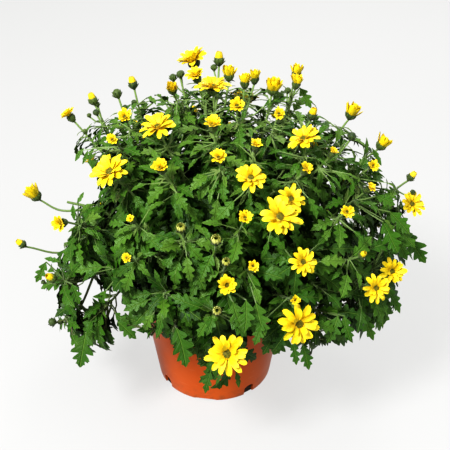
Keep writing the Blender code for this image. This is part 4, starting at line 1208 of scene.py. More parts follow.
def add_leaf(growth, leaf, draw):
    """The fine leaf for one of the frame's leaves."""
    root, base, along, normal = (np.array(v) for v in (leaf.root, leaf.base, leaf.along, leaf.normal))
    bend = random_bend(draw, BLADE_ARCH, BLADE_FOLD + FRAME_FOLD, FRAME_SWING, FRAME_WIDTHS)
    tone = draw.uniform(*FRAME_TONES)
    add_blade(growth, leaf_template(leaf.length), base, along, normal, leaf.length, bend, tone)
    add_petiole(growth, root, base, along, normal, leaf.length, BLADE_ARCH, tone)


# What extra leaves stay clear of

class Surroundings:
    """What an extra leaf stays clear of: the pot, the heads and the sight lines to the heads."""

    def __init__(self, heads):
        self.places = array_of(head.place for head in heads)
        self.faces = array_of(head.face for head in heads)
        self.depths = np.array([calyx_depth(head) + BELOW_HEAD for head in heads])
        self.reaches = np.array([head.width / 2 + HEAD_CLEARANCE for head in heads])
        seen = [k for k, head in enumerate(heads) if not head.name.startswith("behind")]
        self.spots = seen_pixel(self.places[seen])
        self.radii = (self.reaches[seen] - HEAD_CLEARANCE) / self.spots[:, 2] / PIXEL_SLOPE

    def in_heads(self, places):
        """Whether any place is within a bloom or the calyx below it."""
        offsets = places[:, None] - self.places[None]
        rises = (offsets * self.faces).sum(axis=2)
        outs = np.linalg.norm(offsets - rises[:, :, None] * self.faces, axis=2)
        return bool(((rises > -self.depths) & (rises < ABOVE_HEAD) & (outs < self.reaches)).any())

    def covered(self, spots, share=0.95, behind=0.004):
        """Whether any pixel lies over a bloom of the photograph and isn't far behind it."""
        gaps = np.linalg.norm(spots[:, None, :2] - self.spots[None, :, :2], axis=2)
        nearer = spots[:, None, 2] < self.spots[None, :, 2] + behind
        return bool(((gaps < self.radii * share) & nearer).any())

    def fits(self, places, framed=True):
        """Whether places are clear of the pot and heads, and in the photograph's outline."""
        for spot in places:
            if in_pot(spot) or framed and spot.z < skirt(spot) - FRINGE:
                return False
        places = array_of(places)
        if self.in_heads(places):
            return False
        return not self.covered(seen_pixel(places)) and (not framed or in_outline(places))


# Extra leaves

ExtraLeaf = namedtuple("ExtraLeaf", "root base along normal size arch")


def leaf_places(leaf):
    """Sample places on an extra leaf: its base, its flanks and its tip."""
    flank = leaf.along.cross(leaf.normal) * leaf.size * 0.25
    middle = leaf.base + (leaf.along * 0.5 - leaf.normal * leaf.arch * 0.25) * leaf.size
    end = leaf.base + (leaf.along * (1 - leaf.arch * 0.15) - leaf.normal * leaf.arch) * leaf.size
    return [leaf.base, middle + flank, middle - flank, end]


def add_extra_leaves(growth, points, taper, around, draw, last=1.0):
    """Leaves in a spiral along a stem or shoot."""
    count = max(int(curve_length(points) * last / EXTRA_STEP), 1)
    turn = draw.uniform(0, 360)
    for step in range(count):
        share = last * (step + 0.5) / count
        size = leaf_size(point_along(points, share)) * draw.uniform(*EXTRA_SIZES) * (1 - taper * share)
        turn = try_spiral_leaf(growth, points, share, size, turn, around, draw)


def try_spiral_leaf(growth, points, share, size, turn, around, draw, tone=None):
    """One leaf at a share of a curve, turned on if it doesn't fit; gives the turn for the next."""
    root = point_along(points, share)
    before, after = point_along(points, max(share - 0.05, 0)), point_along(points, min(share + 0.05, 1))
    axis = (after - before).normalized()
    turn += LEAF_TURN
    for attempt in range(2):
        leaf = spiral_leaf(root, axis, size, turn + attempt * EXTRA_TURN, draw)
        if around.fits(leaf_places(leaf)):
            place_extra(growth, leaf, draw, tone)
            break
    return turn


def add_young_leaves(growth, points, around, draw):
    """The small sage leaves crowded below a bloom or at the tip of a shoot."""
    length = curve_length(points)
    count = int(min(length * 0.7, YOUNG_REACH) / YOUNG_STEP)
    turn = draw.uniform(0, 360)
    for step in range(count):
        share = 1 - (step + 0.8) * YOUNG_STEP / length
        size = draw.uniform(*YOUNG_SIZES) * (0.55 + 0.45 * step / count)
        turn = try_spiral_leaf(growth, points, share, size, turn, around, draw, draw.uniform(*YOUNG_TONES))


def spiral_leaf(root, axis, size, turn, draw):
    """A leaf that leaves its twig at an angle, turned round it and drawn a little down."""
    side = across(axis, Vector((0.3, 1, 0.2)))
    angle = math.radians(turn)
    radial = side * math.cos(angle) + axis.cross(side) * math.sin(angle)
    lift = math.radians(draw.uniform(*EXTRA_LIFT))
    outward = (root - DOME_CENTRE).normalized()
    along = (axis * math.cos(lift) + radial * math.sin(lift) + outward * 0.25 - UP * 0.25).normalized()
    normal = across(along, axis * 0.8 + UP * 0.7 + outward * 0.3)
    base = root + along * size * draw.uniform(*EXTRA_STALKS)
    return ExtraLeaf(root, base, along, normal, size, draw.uniform(*EXTRA_ARCHES))


def place_extra(growth, leaf, draw, tone=None, fine=False):
    """An extra leaf with its stalk: plainer in the shell than where the photograph shows it."""
    root, base, along, normal = (np.array(v) for v in leaf[:4])
    size = leaf.size
    bend = random_bend(draw, leaf.arch, draw.uniform(*EXTRA_FOLDS), EXTRA_SWING, EXTRA_WIDTHS)
    young = min(max((EXTRA_OLD - size) / EXTRA_AGEING, 0), 1)
    tone = young * 0.5 + draw.uniform(0, 0.5) if tone is None else tone
    template = PLAIN_BLADE if size > NARROW_LEAF and not fine else leaf_template(size)
    add_blade(growth, template, base, along, normal, size, bend, tone)
    if size > NARROW_LEAF:
        add_petiole(growth, root, base, along, normal, size, leaf.arch, tone)
    else:
        spots = np.array([root, (root + base) / 2, base + along * size * 0.2])
        add_tube(growth, spots, SMALL_STALK, TUBE_SIDES["small"], STALK, tone)


class Twigs:
    """Sample places along every stem and shoot, each with the stem that it belongs to."""

    def __init__(self, stems, shoots):
        self.places, self.owners = [], []
        curves = [(index, stem.points[3:]) for index, stem in enumerate(stems)]
        curves += [(shoot.stem, shoot.points) for shoot in shoots]
        for index, points in curves:
            count = int(curve_length(points) / TWIG_STEP) + 1
            for step in range(count):
                self.places.append(point_along(points, 0.1 + 0.8 * step / count))
                self.owners.append(index)
        self.spots = array_of(self.places)

    def nearest(self, place):
        """The nearest sample place and its stem."""
        index = int(np.linalg.norm(self.spots - np.array(tuple(place)), axis=1).argmin())
        return self.places[index], self.owners[index]


def shell_leaves(twigs, around):
    """Leaves that fill the shell under the blooms, each rooted in the twig nearest to it, and darker the
    deeper they lie, as painted shade.
    """
    draw = random.Random(SEED + 7)
    found = []
    for heading in spiral_headings(SHELL_LEAVES, FOLIAGE_LOWEST):
        depth = draw.uniform(0, 1)
        scale = SHELL_SCALES[0] + (SHELL_SCALES[1] - SHELL_SCALES[0]) * depth
        scale += LEAF_RIGHT * max(heading.x, 0) + SHELL_TOP * max(heading.z, 0)
        target = dome_point(heading, scale)
        root, owner = twigs.nearest(target)
        reach = (target - root).length
        size = leaf_size(target) * draw.uniform(*SHELL_SIZES)
        if reach > SHELL_REACH:
            continue
        outward = dome_normal(target)
        drift = Vector((draw.uniform(-1, 1), draw.uniform(-1, 1), draw.uniform(-1, 0.4)))
        along = ((target - root) / max(reach, 0.008) + outward * 0.3 + drift * 0.45 - UP * 0.25).normalized()
        base = root + along * max(reach - size * 0.4, size * 0.15)
        normal = across(along, outward + UP * 0.6)
        leaf = ExtraLeaf(root, base, along, normal, size, draw.uniform(*SHELL_ARCHES))
        if in_outline([root]) and around.fits(leaf_places(leaf)):
            # Painted shade: leaves deeper in the dome are given darker tones.
            tone = draw.uniform(0, 0.15) + depth * draw.uniform(*SHELL_TONES)
            found.append((owner, leaf, tone, False))
    return found


def inner_leaves(twigs, around):
    """Old leaves inside the dome, dark with painted shade."""
    draw = random.Random(SEED + 8)
    found = []
    for heading in spiral_headings(INNER_LEAVES, INNER_LOWEST):
        target = dome_point(heading, draw.uniform(*INNER_SCALES))
        root, owner = twigs.nearest(target)
        if (target - root).length > SHELL_REACH:
            continue
        size = draw.uniform(*INNER_SIZES)
        outward = dome_normal(target)
        drift = Vector((draw.uniform(-1, 1), draw.uniform(-1, 1), draw.uniform(-1, 1)))
        along = across(outward, drift)
        arch = draw.uniform(*INNER_ARCHES)
        leaf = ExtraLeaf(root, root + along * size * 0.2, along, outward, size, arch)
        if around.fits(leaf_places(leaf)):
            # The darkest tones paint the shade inside the dome.
            found.append((owner, leaf, draw.uniform(0, 0.1), False))
    return found


def seen_leaves(twigs, around):
    """The leaves that stand out in the photograph, each rooted in the twig nearest to it."""
    found = []
    ahead = sight_line(Seen(HALF_FRAME, HALF_FRAME, 0, 0))
    for base_across, base_down, tip_across, tip_down, nearer in SEEN_LEAVES:
        base = seen_at(Seen(base_across, base_down, 0, nearer))
        line = sight_line(Seen(tip_across, tip_down, 0, 0))
        tip = EYE + line * ((base - EYE).dot(ahead) / line.dot(ahead))
        root, owner = twigs.nearest(base)
        along = (tip - base).normalized()
        normal = across(along, (EYE - base).normalized() + UP * 0.6)
        leaf = ExtraLeaf(root, base, along, normal, (tip - base).length, SEEN_ARCH)
        if around.fits(leaf_places(leaf), False):
            found.append((owner, leaf, SEEN_TONE, True))
    return found


# Heads

def ring_heading(head, angle):
    """The unit vector at an angle round a head's axis."""
    side, other = (np.array(v) for v in head_frame(head))
    return side * math.cos(angle) + other * math.sin(angle)


def add_petal(growth, place, face, heading, radius, length, half, rises, draw, finish=PETAL, tone=None):
    """A petal that starts at a radius round an axis and climbs at the first angle, then the second."""
    rows = np.linspace(0, 1, PETAL_STEPS + 1)
    climb = np.radians(rises[0] + (rises[1] - rises[0]) * rows)
    middles = (climb[1:] + climb[:-1]) / 2
    runs, lifts = (np.concatenate([[0], np.cumsum(part(middles))]) / PETAL_STEPS for part in (np.cos, np.sin))
    out, up = STRAP.flat.T
    run, lift = np.interp(up, rows, runs), np.interp(up, rows, lifts)
    slant = np.interp(up, rows, climb)
    wide = out * petal_width(up)
    ridges = np.cos(3 * np.pi * out) * np.sin(np.pi * np.clip(up, 0, 1))
    trough = PETAL_TROUGH * wide ** 2 - PETAL_RIDGE * ridges
    twist = math.radians(draw.uniform(-PETAL_TWIST, PETAL_TWIST))
    tangent = np.cross(heading, face)
    tangent = tangent * math.cos(twist) + face * math.sin(twist)
    across_part = wide * half + draw.uniform(-PETAL_SWING, PETAL_SWING) * length * up ** 2
    normals = np.outer(np.cos(slant), face) - np.outer(np.sin(slant), heading)
    verts = place + np.outer(run * length + radius, heading) + np.outer(lift * length, face)
    verts += np.outer(across_part, tangent) + normals * (trough * half + STRAP.lift * PETAL_HALF)[:, None]
    growth.add(verts, STRAP.tris, finish, STRAP.flat, draw.uniform(0, 1) if tone is None else tone)


PetalRow = namedtuple("PetalRow", "count radius length half rises start height spread shortest")


def add_petal_row(growth, head, row, draw):
    """Petals side by side round a head, each a little different from the next."""
    face, place = np.array(head.face), np.array(head.place)
    for k in range(row.count):
        turn = k + row.start + draw.uniform(-PETAL_TURNS, PETAL_TURNS)
        heading = ring_heading(head, 2 * math.pi * turn / row.count)
        tilt = draw.uniform(-row.spread, row.spread)
        size = row.length * draw.uniform(row.shortest, PETAL_LONGEST)
        climbs = (row.rises[0] + tilt, row.rises[1] + tilt * 1.4)
        half = row.half * draw.uniform(*PETAL_HALVES)
        add_petal(growth, place + face * row.height, face, heading, row.radius, size, half, climbs, draw)


def add_disc(growth, head, radius, height):
    """A domed disc covered with florets in a spiral, golden and open at the rim."""
    place, face = np.array(head.place), np.array(head.face)
    dome = [(radius * out, height * up) for out, up in DISC_DOME]
    growth.add(*turned_surface(place, face, dome, 14), DISC)
    count = int(FLORETS_LEAST + FLORETS_GROWTH * radius)
    size = radius * 0.9 / math.sqrt(count)
    for k in range(count):
        share = math.sqrt((k + 0.5) / count)
        lean = share * FLORET_LEAN
        heading = ring_heading(head, math.radians(LEAF_TURN * k))
        rise = math.sqrt(max(1 - share ** 2, 0))
        spot = place + heading * radius * share * 0.97 + face * height * rise * 0.95
        axis = unit(face * math.cos(lean) + heading * math.sin(lean))
        rim = share > FLORET_RIM
        tall = size * (2.6 if rim else 1.5)
        mouth = size * (1.05 if rim else 0.45)
        profile = ((size * 0.55, 0), (size * 0.8, tall * 0.5), (mouth, tall), (size * 0.1, tall * 0.9))
        growth.add(*turned_surface(spot, axis, profile, 5), GOLD if rim else DISC)


def add_open_head(growth, head, draw):
    """An open bloom: rows of petals round a disc of florets, fewer and steeper in the small ones."""
    reach = head.width / 2
    disc = reach * DISC_SHARE * DISC_FINE
    rows = next(rows for least, rows in ROWS_BY_WIDTH if head.width > least)
    for index, (count, half, rises, start) in enumerate(HALF_OPEN_ROWS if head.name in HALF_OPEN else rows):
        length = (reach - disc * 0.8) * (1.06 - 0.14 * index)
        radius, height = disc * (0.85 - 0.1 * index), 0.0003 * index
        row = PetalRow(count, radius, length, half * reach, rises, start, height, ROW_SPREAD, ROW_SHORTEST)
        add_petal_row(growth, head, row, draw)
    add_disc(growth, head, disc, disc * 0.5)


def add_cup_head(growth, head, draw):
    """A half-open bloom: ragged petals that stand up out of a shallow green cup."""
    wide = head.width
    for count, radius, length, half, rises, start, sunk, spread in CUP_ROWS:
        sizes = (wide * radius, wide * length, wide * half)
        row = PetalRow(count, *sizes, rises, start, -wide * sunk, spread, CUP_SHORTEST)
        add_petal_row(growth, head, row, draw)


def add_bud_petals(growth, head, draw):
    """The closed petals that show at the top of a bud, or all round a pale one."""
    if head.name in GREEN_BUDS:
        return
    wide = head.width
    face = np.array(head.face)
    pale = head.name in PALE_BUDS
    finish = PALE if pale else PETAL
    foot = np.array(head.place) + face * (-0.22 * wide if pale else 0.05 * wide)
    rises = (72, 118) if pale else (84, 118)
    half = (0.12 if pale else 0.15) * wide
    for row, (count, radius, length) in enumerate(BUD_RINGS[:2] if pale else BUD_RINGS):
        for k in range(count):
            heading = ring_heading(head, 2 * math.pi * (k + 0.5 * row) / count)
            add_petal(growth, foot, face, heading, radius * wide, length * wide, half, rises, draw, finish)


def add_scales(growth, head, rows, draw):
    """Pointed scales in rows up the calyx: count, radius, height, length and lean of each row."""
    place, face = np.array(head.place), np.array(head.face)
    for index, (count, radius, height, length, lean) in enumerate(rows):
        for k in range(count):
            heading = ring_heading(head, 2 * math.pi * (k + 0.5 * index) / count)
            tilt = math.radians(lean + draw.uniform(-6, 6))
            along = unit(face * math.cos(tilt) + heading * math.sin(tilt))
            normal = unit(np.cross(np.cross(heading, face), along))
            base = place + face * height + heading * radius
            bend = Bend(0.12, -0.3, draw.uniform(-0.1, 0.1), 0, 1)
            tone = draw.uniform(0, 1)
            add_blade(growth, SCALE_BLADE, base, along, -normal, length, bend, tone, (CALYX, CALYX))


def add_calyx(growth, head, draw):
    """The green cup below a bloom, or the green ball of a bud, with its scales."""
    place, face = np.array(head.place), np.array(head.face)
    depth = calyx_depth(head)
    if head.kind == "bud":
        wide, pale, sides = head.width, head.name in PALE_BUDS, 12
        ball = PALE_BALL if pale else BUD_BALL
        profile = [(BUD_FOOT, -depth)] + [(out * wide, up * wide) for out, up in ball]
        table = BUD_SCALES[:2] if pale else BUD_SCALES
        rows = [(count, out * wide, up * wide, long * wide, lean) for count, out, up, long, lean in table]
    else:
        cup, sides = head.kind == "cup", 14
        wide = head.width * (0.36 if cup else 0.5 * CALYX_SHARE) + (0 if cup else 0.001)
        rim = -0.0016 if cup else -0.0012
        profile = [(0.0012, -depth), (0.0022, -depth * 0.92), (wide * 0.78, -depth * 0.70)]
        profile += [(wide * 0.98, -depth * 0.45), (wide, rim), (wide * 0.6, rim * 1.3)]
        length = depth * 0.42
        rows = ((9, wide * 0.76, -depth * 0.72, length, 30), (11, wide * 0.98, -depth * 0.46, length, 2))
    growth.add(*turned_surface(place, face, profile, sides), CALYX, None, draw.uniform(0, 1))
    add_scales(growth, head, rows, draw)


def add_head(green, yellow, head, draw):
    """A head: its calyx in the green piece, its petals and disc in the yellow one."""
    add_calyx(green, head, draw)
    if head.kind == "open":
        add_open_head(yellow, head, draw)
    elif head.kind == "cup":
        add_cup_head(yellow, head, draw)
    else:
        add_bud_petals(yellow, head, draw)


# Pot and soil

def rounded(profile, radius, steps):
    """A profile with its corners rounded, its two ends on the axis kept."""
    found = [profile[0]]
    for before, corner, after in zip(profile, profile[1:], profile[2:]):
        b, c, a = (np.array(v, dtype=float) for v in (before, corner, after))
        reach = min(radius, np.linalg.norm(b - c) * 0.45, np.linalg.norm(a - c) * 0.45)
        start, end = c + unit(b - c) * reach, c + unit(a - c) * reach
        for step in range(steps + 1):
            share = step / steps
            first, second = start * (1 - share) + c * share, c * (1 - share) + end * share
            found.append(tuple(first * (1 - share) + second * share))
    return found + [profile[-1]]


def turned_rings(profile, sides):
    """A closed shape turned round +Z from a profile that starts and ends on the axis."""
    turns = 2 * np.pi * np.arange(sides) / sides
    rings = []
    for radius, height in profile[1:-1]:
        rim = (radius * np.cos(turns), radius * np.sin(turns), np.full(sides, height))
        rings.append(np.stack(rim, axis=1))
    ends = [(0, 0, profile[0][1]), (0, 0, profile[-1][1])]
    return np.vstack(rings + [ends]), ring_tris(len(profile) - 2, sides)


def arched_block(angle, width, height, depth, end=0.006, low=-0.002):
    """A block with a round top that reaches in through the bottom edge of the wall."""
    turn = math.radians(angle)
    outward = np.array((math.sin(turn), -math.cos(turn), 0))
    side = np.array((math.cos(turn), math.sin(turn), 0))
    crown = min(width * 0.35, height * 0.8)
    rim = [(-width / 2, low)]
    for step in range(9):
        swing = math.pi * step / 8
        rim.append((-math.cos(swing) * width / 2, height - crown + math.sin(swing) * crown))
    rim.append((width / 2, low))
    count = len(rim)
    reaches = (POT_BASE_RADIUS - depth, POT_BASE_RADIUS + end)
    verts = [outward * out + side * x + np.array((0, 0, z)) for out in reaches for x, z in rim]
    faces = [tuple(range(count)), tuple(reversed(range(count, 2 * count)))]
    faces += [(k, count + k, count + (k + 1) % count, (k + 1) % count) for k in range(count)]
    return verts, faces


def cut_blocks(piece, angles, width, height, depth):
    """Cuts one block away at each angle round the foot of the pot."""
    for angle in angles:
        verts, faces = arched_block(angle, width, height, depth)
        mesh = bpy.data.meshes.new("block")
        mesh.from_pydata([tuple(v) for v in verts], [], faces)
        block = add_object("block", mesh)
        cut = piece.modifiers.new("cut", "BOOLEAN")
        cut.operation = "DIFFERENCE"
        cut.object = block
        evaluated = piece.evaluated_get(bpy.context.evaluated_depsgraph_get())
        after = bpy.data.meshes.new_from_object(evaluated)
        piece.modifiers.clear()
        piece.data = after
        bpy.data.objects.remove(block)


def make_pot(material):
    """The moulded pot: a turned shell with a rolled rim, its slots and foot arches cut away."""
    lip_low = POT_HEIGHT - LIP_HEIGHT
    lip_outer = pot_radius(POT_HEIGHT) + LIP_REACH
    wall = [(pot_radius(lip_low * k / 12), lip_low * k / 12) for k in range(1, 13)]
    inside = [(pot_radius(z) - POT_WALL, z) for z in (POT_HEIGHT, 0.09, 0.05, POT_FLOOR)]
    profile = [(0, 0), (POT_BASE_RADIUS * 0.6, 0), (POT_BASE_RADIUS, 0)] + wall
    profile += [(lip_outer, lip_low), (lip_outer, POT_HEIGHT)] + inside + [(0, POT_FLOOR)]
    verts, tris = turned_rings(rounded(profile, LIP_ROUND, 3), POT_SIDES)
    growth = Growth()
    growth.add(verts, tris, 0)
    pot = growth.build("pot_shell", [material], POT_SHARP)
    cut_blocks(pot, SLOT_ANGLES, SLOT_WIDTH, SLOT_HEIGHT, SLOT_DEPTH)
    cut_blocks(pot, ARCH_ANGLES, ARCH_WIDTH, ARCH_HEIGHT, ARCH_DEPTH)
    pot.data.set_sharp_from_angle(angle=math.radians(POT_SHARP))
    return pot


def make_soil(materials):
    """Crumbly potting mix, heaped a little at the middle, with loose crumbs and pale grit, and soil blocks in
    the foot slots that are partly painted shade.
    """
    low = POT_FLOOR + GAP
    wall = POT_WALL + GAP
    edge = SOIL_EDGE - SOIL_SHOULDER
    profile = [(0, low), (pot_radius(low) - wall, low), (pot_radius(edge) - wall, edge)]
    top = pot_radius(SOIL_EDGE) - wall
    for ring in range(SOIL_RINGS):
        share = 1 - ring / SOIL_RINGS
        profile.append((top * share, SOIL_EDGE + (SOIL_CROWN - SOIL_EDGE) * (1 - share ** 2)))
    profile.append((0, SOIL_CROWN))
    verts, tris = turned_rings(profile, SOIL_SIDES)
    for spot in verts:
        if spot[2] > SOIL_EDGE - 0.001 and math.hypot(spot[0], spot[1]) < top * 0.995:
            rough = noise.noise(Vector(spot) * 260) * 1.1 + noise.noise(Vector(spot) * 700) * 0.6
            spot[2] += rough * SOIL_ROUGHNESS
    growth = Growth()
    growth.add(verts, tris, 0)
    # Blocks of soil fill the foot slots: soil where the slots open into the pot, and painted shade where they
    # are only hollows in its foot.
    for angle in SLOT_ANGLES:
        wide, tall = SLOT_WIDTH - 2 * GAP, SLOT_HEIGHT - GAP
        verts, faces = arched_block(angle, wide, tall, SLOT_DEPTH - GAP, -POT_WALL, GAP)
        fans = [(face[0], face[k], face[k + 1]) for face in faces for k in range(1, len(face) - 1)]
        growth.add(np.array(verts), np.array(fans), 0)
    draw = random.Random(SEED + 5)
    for _ in range(CRUMBS):
        out, angle = top * 0.96 * math.sqrt(draw.random()), draw.uniform(0, 2 * math.pi)
        height = SOIL_EDGE + (SOIL_CROWN - SOIL_EDGE) * (1 - (out / top) ** 2)
        size = draw.uniform(*CRUMB_SIZES)
        place = np.array((out * math.cos(angle), out * math.sin(angle), height))
        face = unit(np.array((draw.uniform(-0.5, 0.5), draw.uniform(-0.5, 0.5), 1)))
        lump = ((size * 0.6, -size * 0.6), (size * draw.uniform(0.8, 1.2), 0), (size * 0.55, size * 0.6))
        growth.add(*turned_surface(place, face, lump, 6), 1 if draw.random() < GRIT_SHARE else 0)
    return growth.build("soil_surface_and_slot_shade", materials, 40)


# Materials

class Shade:
    """A material under construction: one Principled shader and the nodes that feed it."""

    def __init__(self, name, roughness, **values):
        self.material = bpy.data.materials.new(name)
        self.material.use_nodes = True
        self.tree = self.material.node_tree
        self.shader = self.tree.nodes["Principled BSDF"]
        self.shader.inputs["Roughness"].default_value = roughness
        for socket, value in values.items():
            self.shader.inputs[socket.replace("_", " ")].default_value = value

    def add(self, kind, inputs=None, **settings):
        """A new node with its settings, fed with values or other nodes."""
        node = self.tree.nodes.new(kind)
        for key, value in settings.items():
            setattr(node, key, value)
        for key, value in (inputs or {}).items():
            self.feed(node.inputs[key], value)
        return node

    def feed(self, socket, value):
        """Links a node's output to the socket, or sets a plain value on it."""
        if isinstance(value, bpy.types.NodeSocket):
            self.tree.links.new(value, socket)
        else:
            socket.default_value = value

    def math(self, operation, *values):
        """One step of arithmetic."""
        return self.add("ShaderNodeMath", dict(enumerate(values)), operation=operation).outputs[0]

    def times(self, first, second):
        """Two values multiplied."""
        return self.math("MULTIPLY", first, second)

    def mix(self, share, low, high):
        """A colour between two others."""
        node = self.add("ShaderNodeMix", data_type="RGBA")
        for name, value in (("Factor_Float", share), ("A_Color", low), ("B_Color", high)):
            socket = next(s for s in node.inputs if s.identifier == name)
            self.feed(socket, (*value, 1) if isinstance(value, tuple) else value)
        return next(s for s in node.outputs if s.identifier == "Result_Color")

    def ramp(self, value, stops):
        """Colours that run one into the next as the value goes from 0 to 1."""
        node = self.add("ShaderNodeValToRGB", {0: value})
        ramp = node.color_ramp
        while len(ramp.elements) < len(stops):
            ramp.elements.new(0.5)
        for element, (position, colour) in zip(ramp.elements, stops):
            element.position = position
            element.color = (*colour, 1)
        return node.outputs[0]

    def spread(self, value, low, high):
        """The value's share of the way from low to high, held between 0 and 1."""
        return self.add("ShaderNodeMapRange", {"Value": value, "From Min": low, "From Max": high}).outputs[0]

    def place(self):
        """Where the surface is in the frame."""
        return self.add("ShaderNodeTexCoord").outputs["Object"]

    def height(self):
        """How high the surface is in the frame."""
        return self.add("ShaderNodeSeparateXYZ", {0: self.place()}).outputs[2]

    def grain(self, scale, detail=3.0, stretch=None):
        """A cloudy pattern through the object, stretched where asked."""
        vector = self.place()
        if stretch:
            vector = self.add("ShaderNodeMapping", {"Vector": vector, "Scale": stretch}).outputs[0]
        inputs = {"Vector": vector, "Scale": scale, "Detail": detail}
        return self.add("ShaderNodeTexNoise", inputs).outputs[0]

    def marks(self):
        """The two marks of a surface: across, made positive, and along."""
        uv = self.add("ShaderNodeUVMap", uv_map="marks").outputs[0]
        parts = self.add("ShaderNodeSeparateXYZ", {0: uv})
        return self.math("ABSOLUTE", parts.outputs[0]), parts.outputs[1]

    def tone(self):
        """The tone that the leaf, petal or scale was given."""
        return self.add("ShaderNodeAttribute", attribute_name="tone").outputs["Fac"]

    def colour(self, socket):
        """Sets what colours the surface."""
        self.tree.links.new(socket, self.shader.inputs["Base Color"])

    def bump(self, height, strength, distance):
        """Sets the fine relief of the surface."""
        node = self.add("ShaderNodeBump", {"Height": height, "Strength": strength, "Distance": distance})
        self.tree.links.new(node.outputs[0], self.shader.inputs["Normal"])

    def roughness(self, value, low, high):
        """Lets the roughness run from low to high with a value."""
        node = self.add("ShaderNodeMapRange", {"Value": value, "To Min": low, "To Max": high})
        self.tree.links.new(node.outputs[0], self.shader.inputs["Roughness"])


def leaf_finish(name, ages_and_shade, pale, roughness):
    """Leaf green: deep and vivid on old leaves, darkest as painted shade on leaves deep in the dome, sage on
    young ones, with pale veins and a soft mottle.
    """
    shade = Shade(name, roughness, Sheen_Weight=0.02, Sheen_Roughness=0.5, Specular_IOR_Level=0.30)
    height = shade.height()
    climb = shade.times(shade.spread(height, *YOUNG_HEIGHTS), 0.30)
    # The tone carries both how young a leaf is and painted shade for leaves deep in the dome.
    age_and_shade = shade.math("ADD", shade.times(shade.tone(), 0.75), climb)
    green = shade.ramp(age_and_shade, ages_and_shade)
    green = shade.mix(shade.times(shade.spread(shade.grain(34, 2.0), 0.42, 0.72), 0.22), green, pale)
    out, up = shade.marks()
    slant = shade.math("SUBTRACT", up, shade.times(out, 0.75))
    repeat = shade.math("FRACT", shade.times(slant, VEIN_COUNT))
    line = shade.math("ABSOLUTE", shade.math("SUBTRACT", repeat, 0.5))
    veins = shade.times(shade.spread(line, 0.40, 0.5), shade.spread(out, 0.42, 0.05))
    rib = shade.spread(out, 0.030, 0.008)
    lines = shade.math("MAXIMUM", shade.times(veins, 0.5), rib)
    shade.colour(shade.mix(shade.times(lines, 0.42), green, pale))
    fine = shade.grain(1500, 2.0)
    relief = shade.math("SUBTRACT", shade.times(fine, 0.35), lines)
    shade.bump(relief, 0.8, 0.0010)
    shade.roughness(fine, roughness - 0.08, roughness + 0.1)
    return shade.material


def stalk_finish():
    """Stalk green: deeper and partly woody low down, with fine streaks along it."""
    shade = Shade("stalk_green", 0.6, Sheen_Weight=0.2)
    height = shade.height()
    green = shade.mix(shade.spread(height, *YOUNG_HEIGHTS), *STALK_COLOURS)
    wood = shade.times(shade.spread(height, 0.165, 0.115), shade.spread(shade.grain(60), 0.35, 0.6))
    streaks = shade.grain(900, 2.0, (1, 1, 0.15))
    green = shade.mix(shade.times(wood, 0.7), green, WOOD_COLOUR)
    shade.colour(shade.mix(shade.times(streaks, 0.35), green, STREAK_COLOUR))
    shade.bump(streaks, 0.4, 0.0003)
    return shade.material


def calyx_finish():
    """Calyx green, each scale with a paler edge."""
    shade = Shade("calyx_green", 0.6, Sheen_Weight=0.15)
    out = shade.marks()[0]
    green = shade.mix(shade.tone(), *CALYX_COLOURS)
    edge = shade.spread(out, 0.12, 0.26)
    shade.colour(shade.mix(shade.times(edge, 0.45), green, SCALE_RIM))
    shade.bump(shade.grain(1800, 2.0), 0.3, 0.0002)
    return shade.material


def petal_finish(name, base, tip, throat, roughness=0.5):
    """Petal yellow: deeper at its foot, with painted shade in stripes along its ridges and fine streaks along
    its length.
    """
    shade = Shade(name, roughness, Sheen_Weight=0.08)
    out, up = shade.marks()
    yellow = shade.mix(shade.times(shade.tone(), 0.8), base, tip)
    foot = shade.spread(up, 0.42, 0.05)
    yellow = shade.mix(shade.times(foot, 0.75), yellow, throat)
    # Painted shade: stripes along the ridged petal are mixed towards the deeper throat colour.
    ridge = shade.math("COSINE", shade.times(out, 3 * math.pi))
    groove_shade = shade.spread(ridge, -0.2, -1.0)
    yellow = shade.mix(shade.times(groove_shade, 0.30), yellow, throat)
    shade.colour(yellow)
    streak = shade.math("SINE", shade.times(out, 42))
    relief = shade.math("ADD", shade.times(streak, 0.25), shade.grain(1400, 2.0))
    shade.bump(relief, 0.35, 0.0003)
    return shade.material


def floret_finish(name, low, high):
    """The disc's florets, mottled between two tones."""
    shade = Shade(name, 0.65)
    shade.colour(shade.mix(shade.spread(shade.grain(900, 2.0), 0.35, 0.65), low, high))
    shade.bump(shade.grain(2600, 1.0), 0.4, 0.0002)
    return shade.material


def pot_finish():
    """Moulded terracotta plastic, with faint turned lines, scuffs and darker brown patches near the foot."""
    shade = Shade("terracotta_plastic", 0.40, Specular_IOR_Level=0.25)
    cloud = shade.grain(14, 3.0)
    orange = shade.mix(shade.spread(cloud, 0.35, 0.65), *POT_COLOURS)
    height = shade.height()
    # Darker brown patches, strongest at the floor and gone 2 cm up.
    foot_patches = shade.times(shade.spread(height, 0.020, 0.0), shade.spread(shade.grain(120, 4.0), 0.48, 0.66))
    orange = shade.mix(shade.times(foot_patches, 0.4), orange, FOOT_PATCH_COLOUR)
    scuff = shade.spread(shade.grain(70, 5.0, (1, 1, 6)), 0.62, 0.75)
    shade.colour(shade.mix(shade.times(scuff, 0.16), orange, SCUFF_COLOUR))
    lines = shade.grain(16, 1.0, (0.02, 0.02, 60))
    relief = shade.math("ADD", shade.times(lines, 0.6), shade.grain(1100, 2.0))
    shade.bump(relief, 0.12, 0.0004)
    shade.roughness(shade.grain(40, 3.0), 0.28, 0.48)
    return shade.material


def soil_finish(name, low, high):
    """Rough, crumbly soil or grit, mottled between two tones."""
    shade = Shade(name, 0.95)
    shade.colour(shade.mix(shade.spread(shade.grain(420, 4.0), 0.38, 0.62), low, high))
    shade.bump(shade.grain(1300, 4.0), 0.9, 0.0006)
    return shade.material


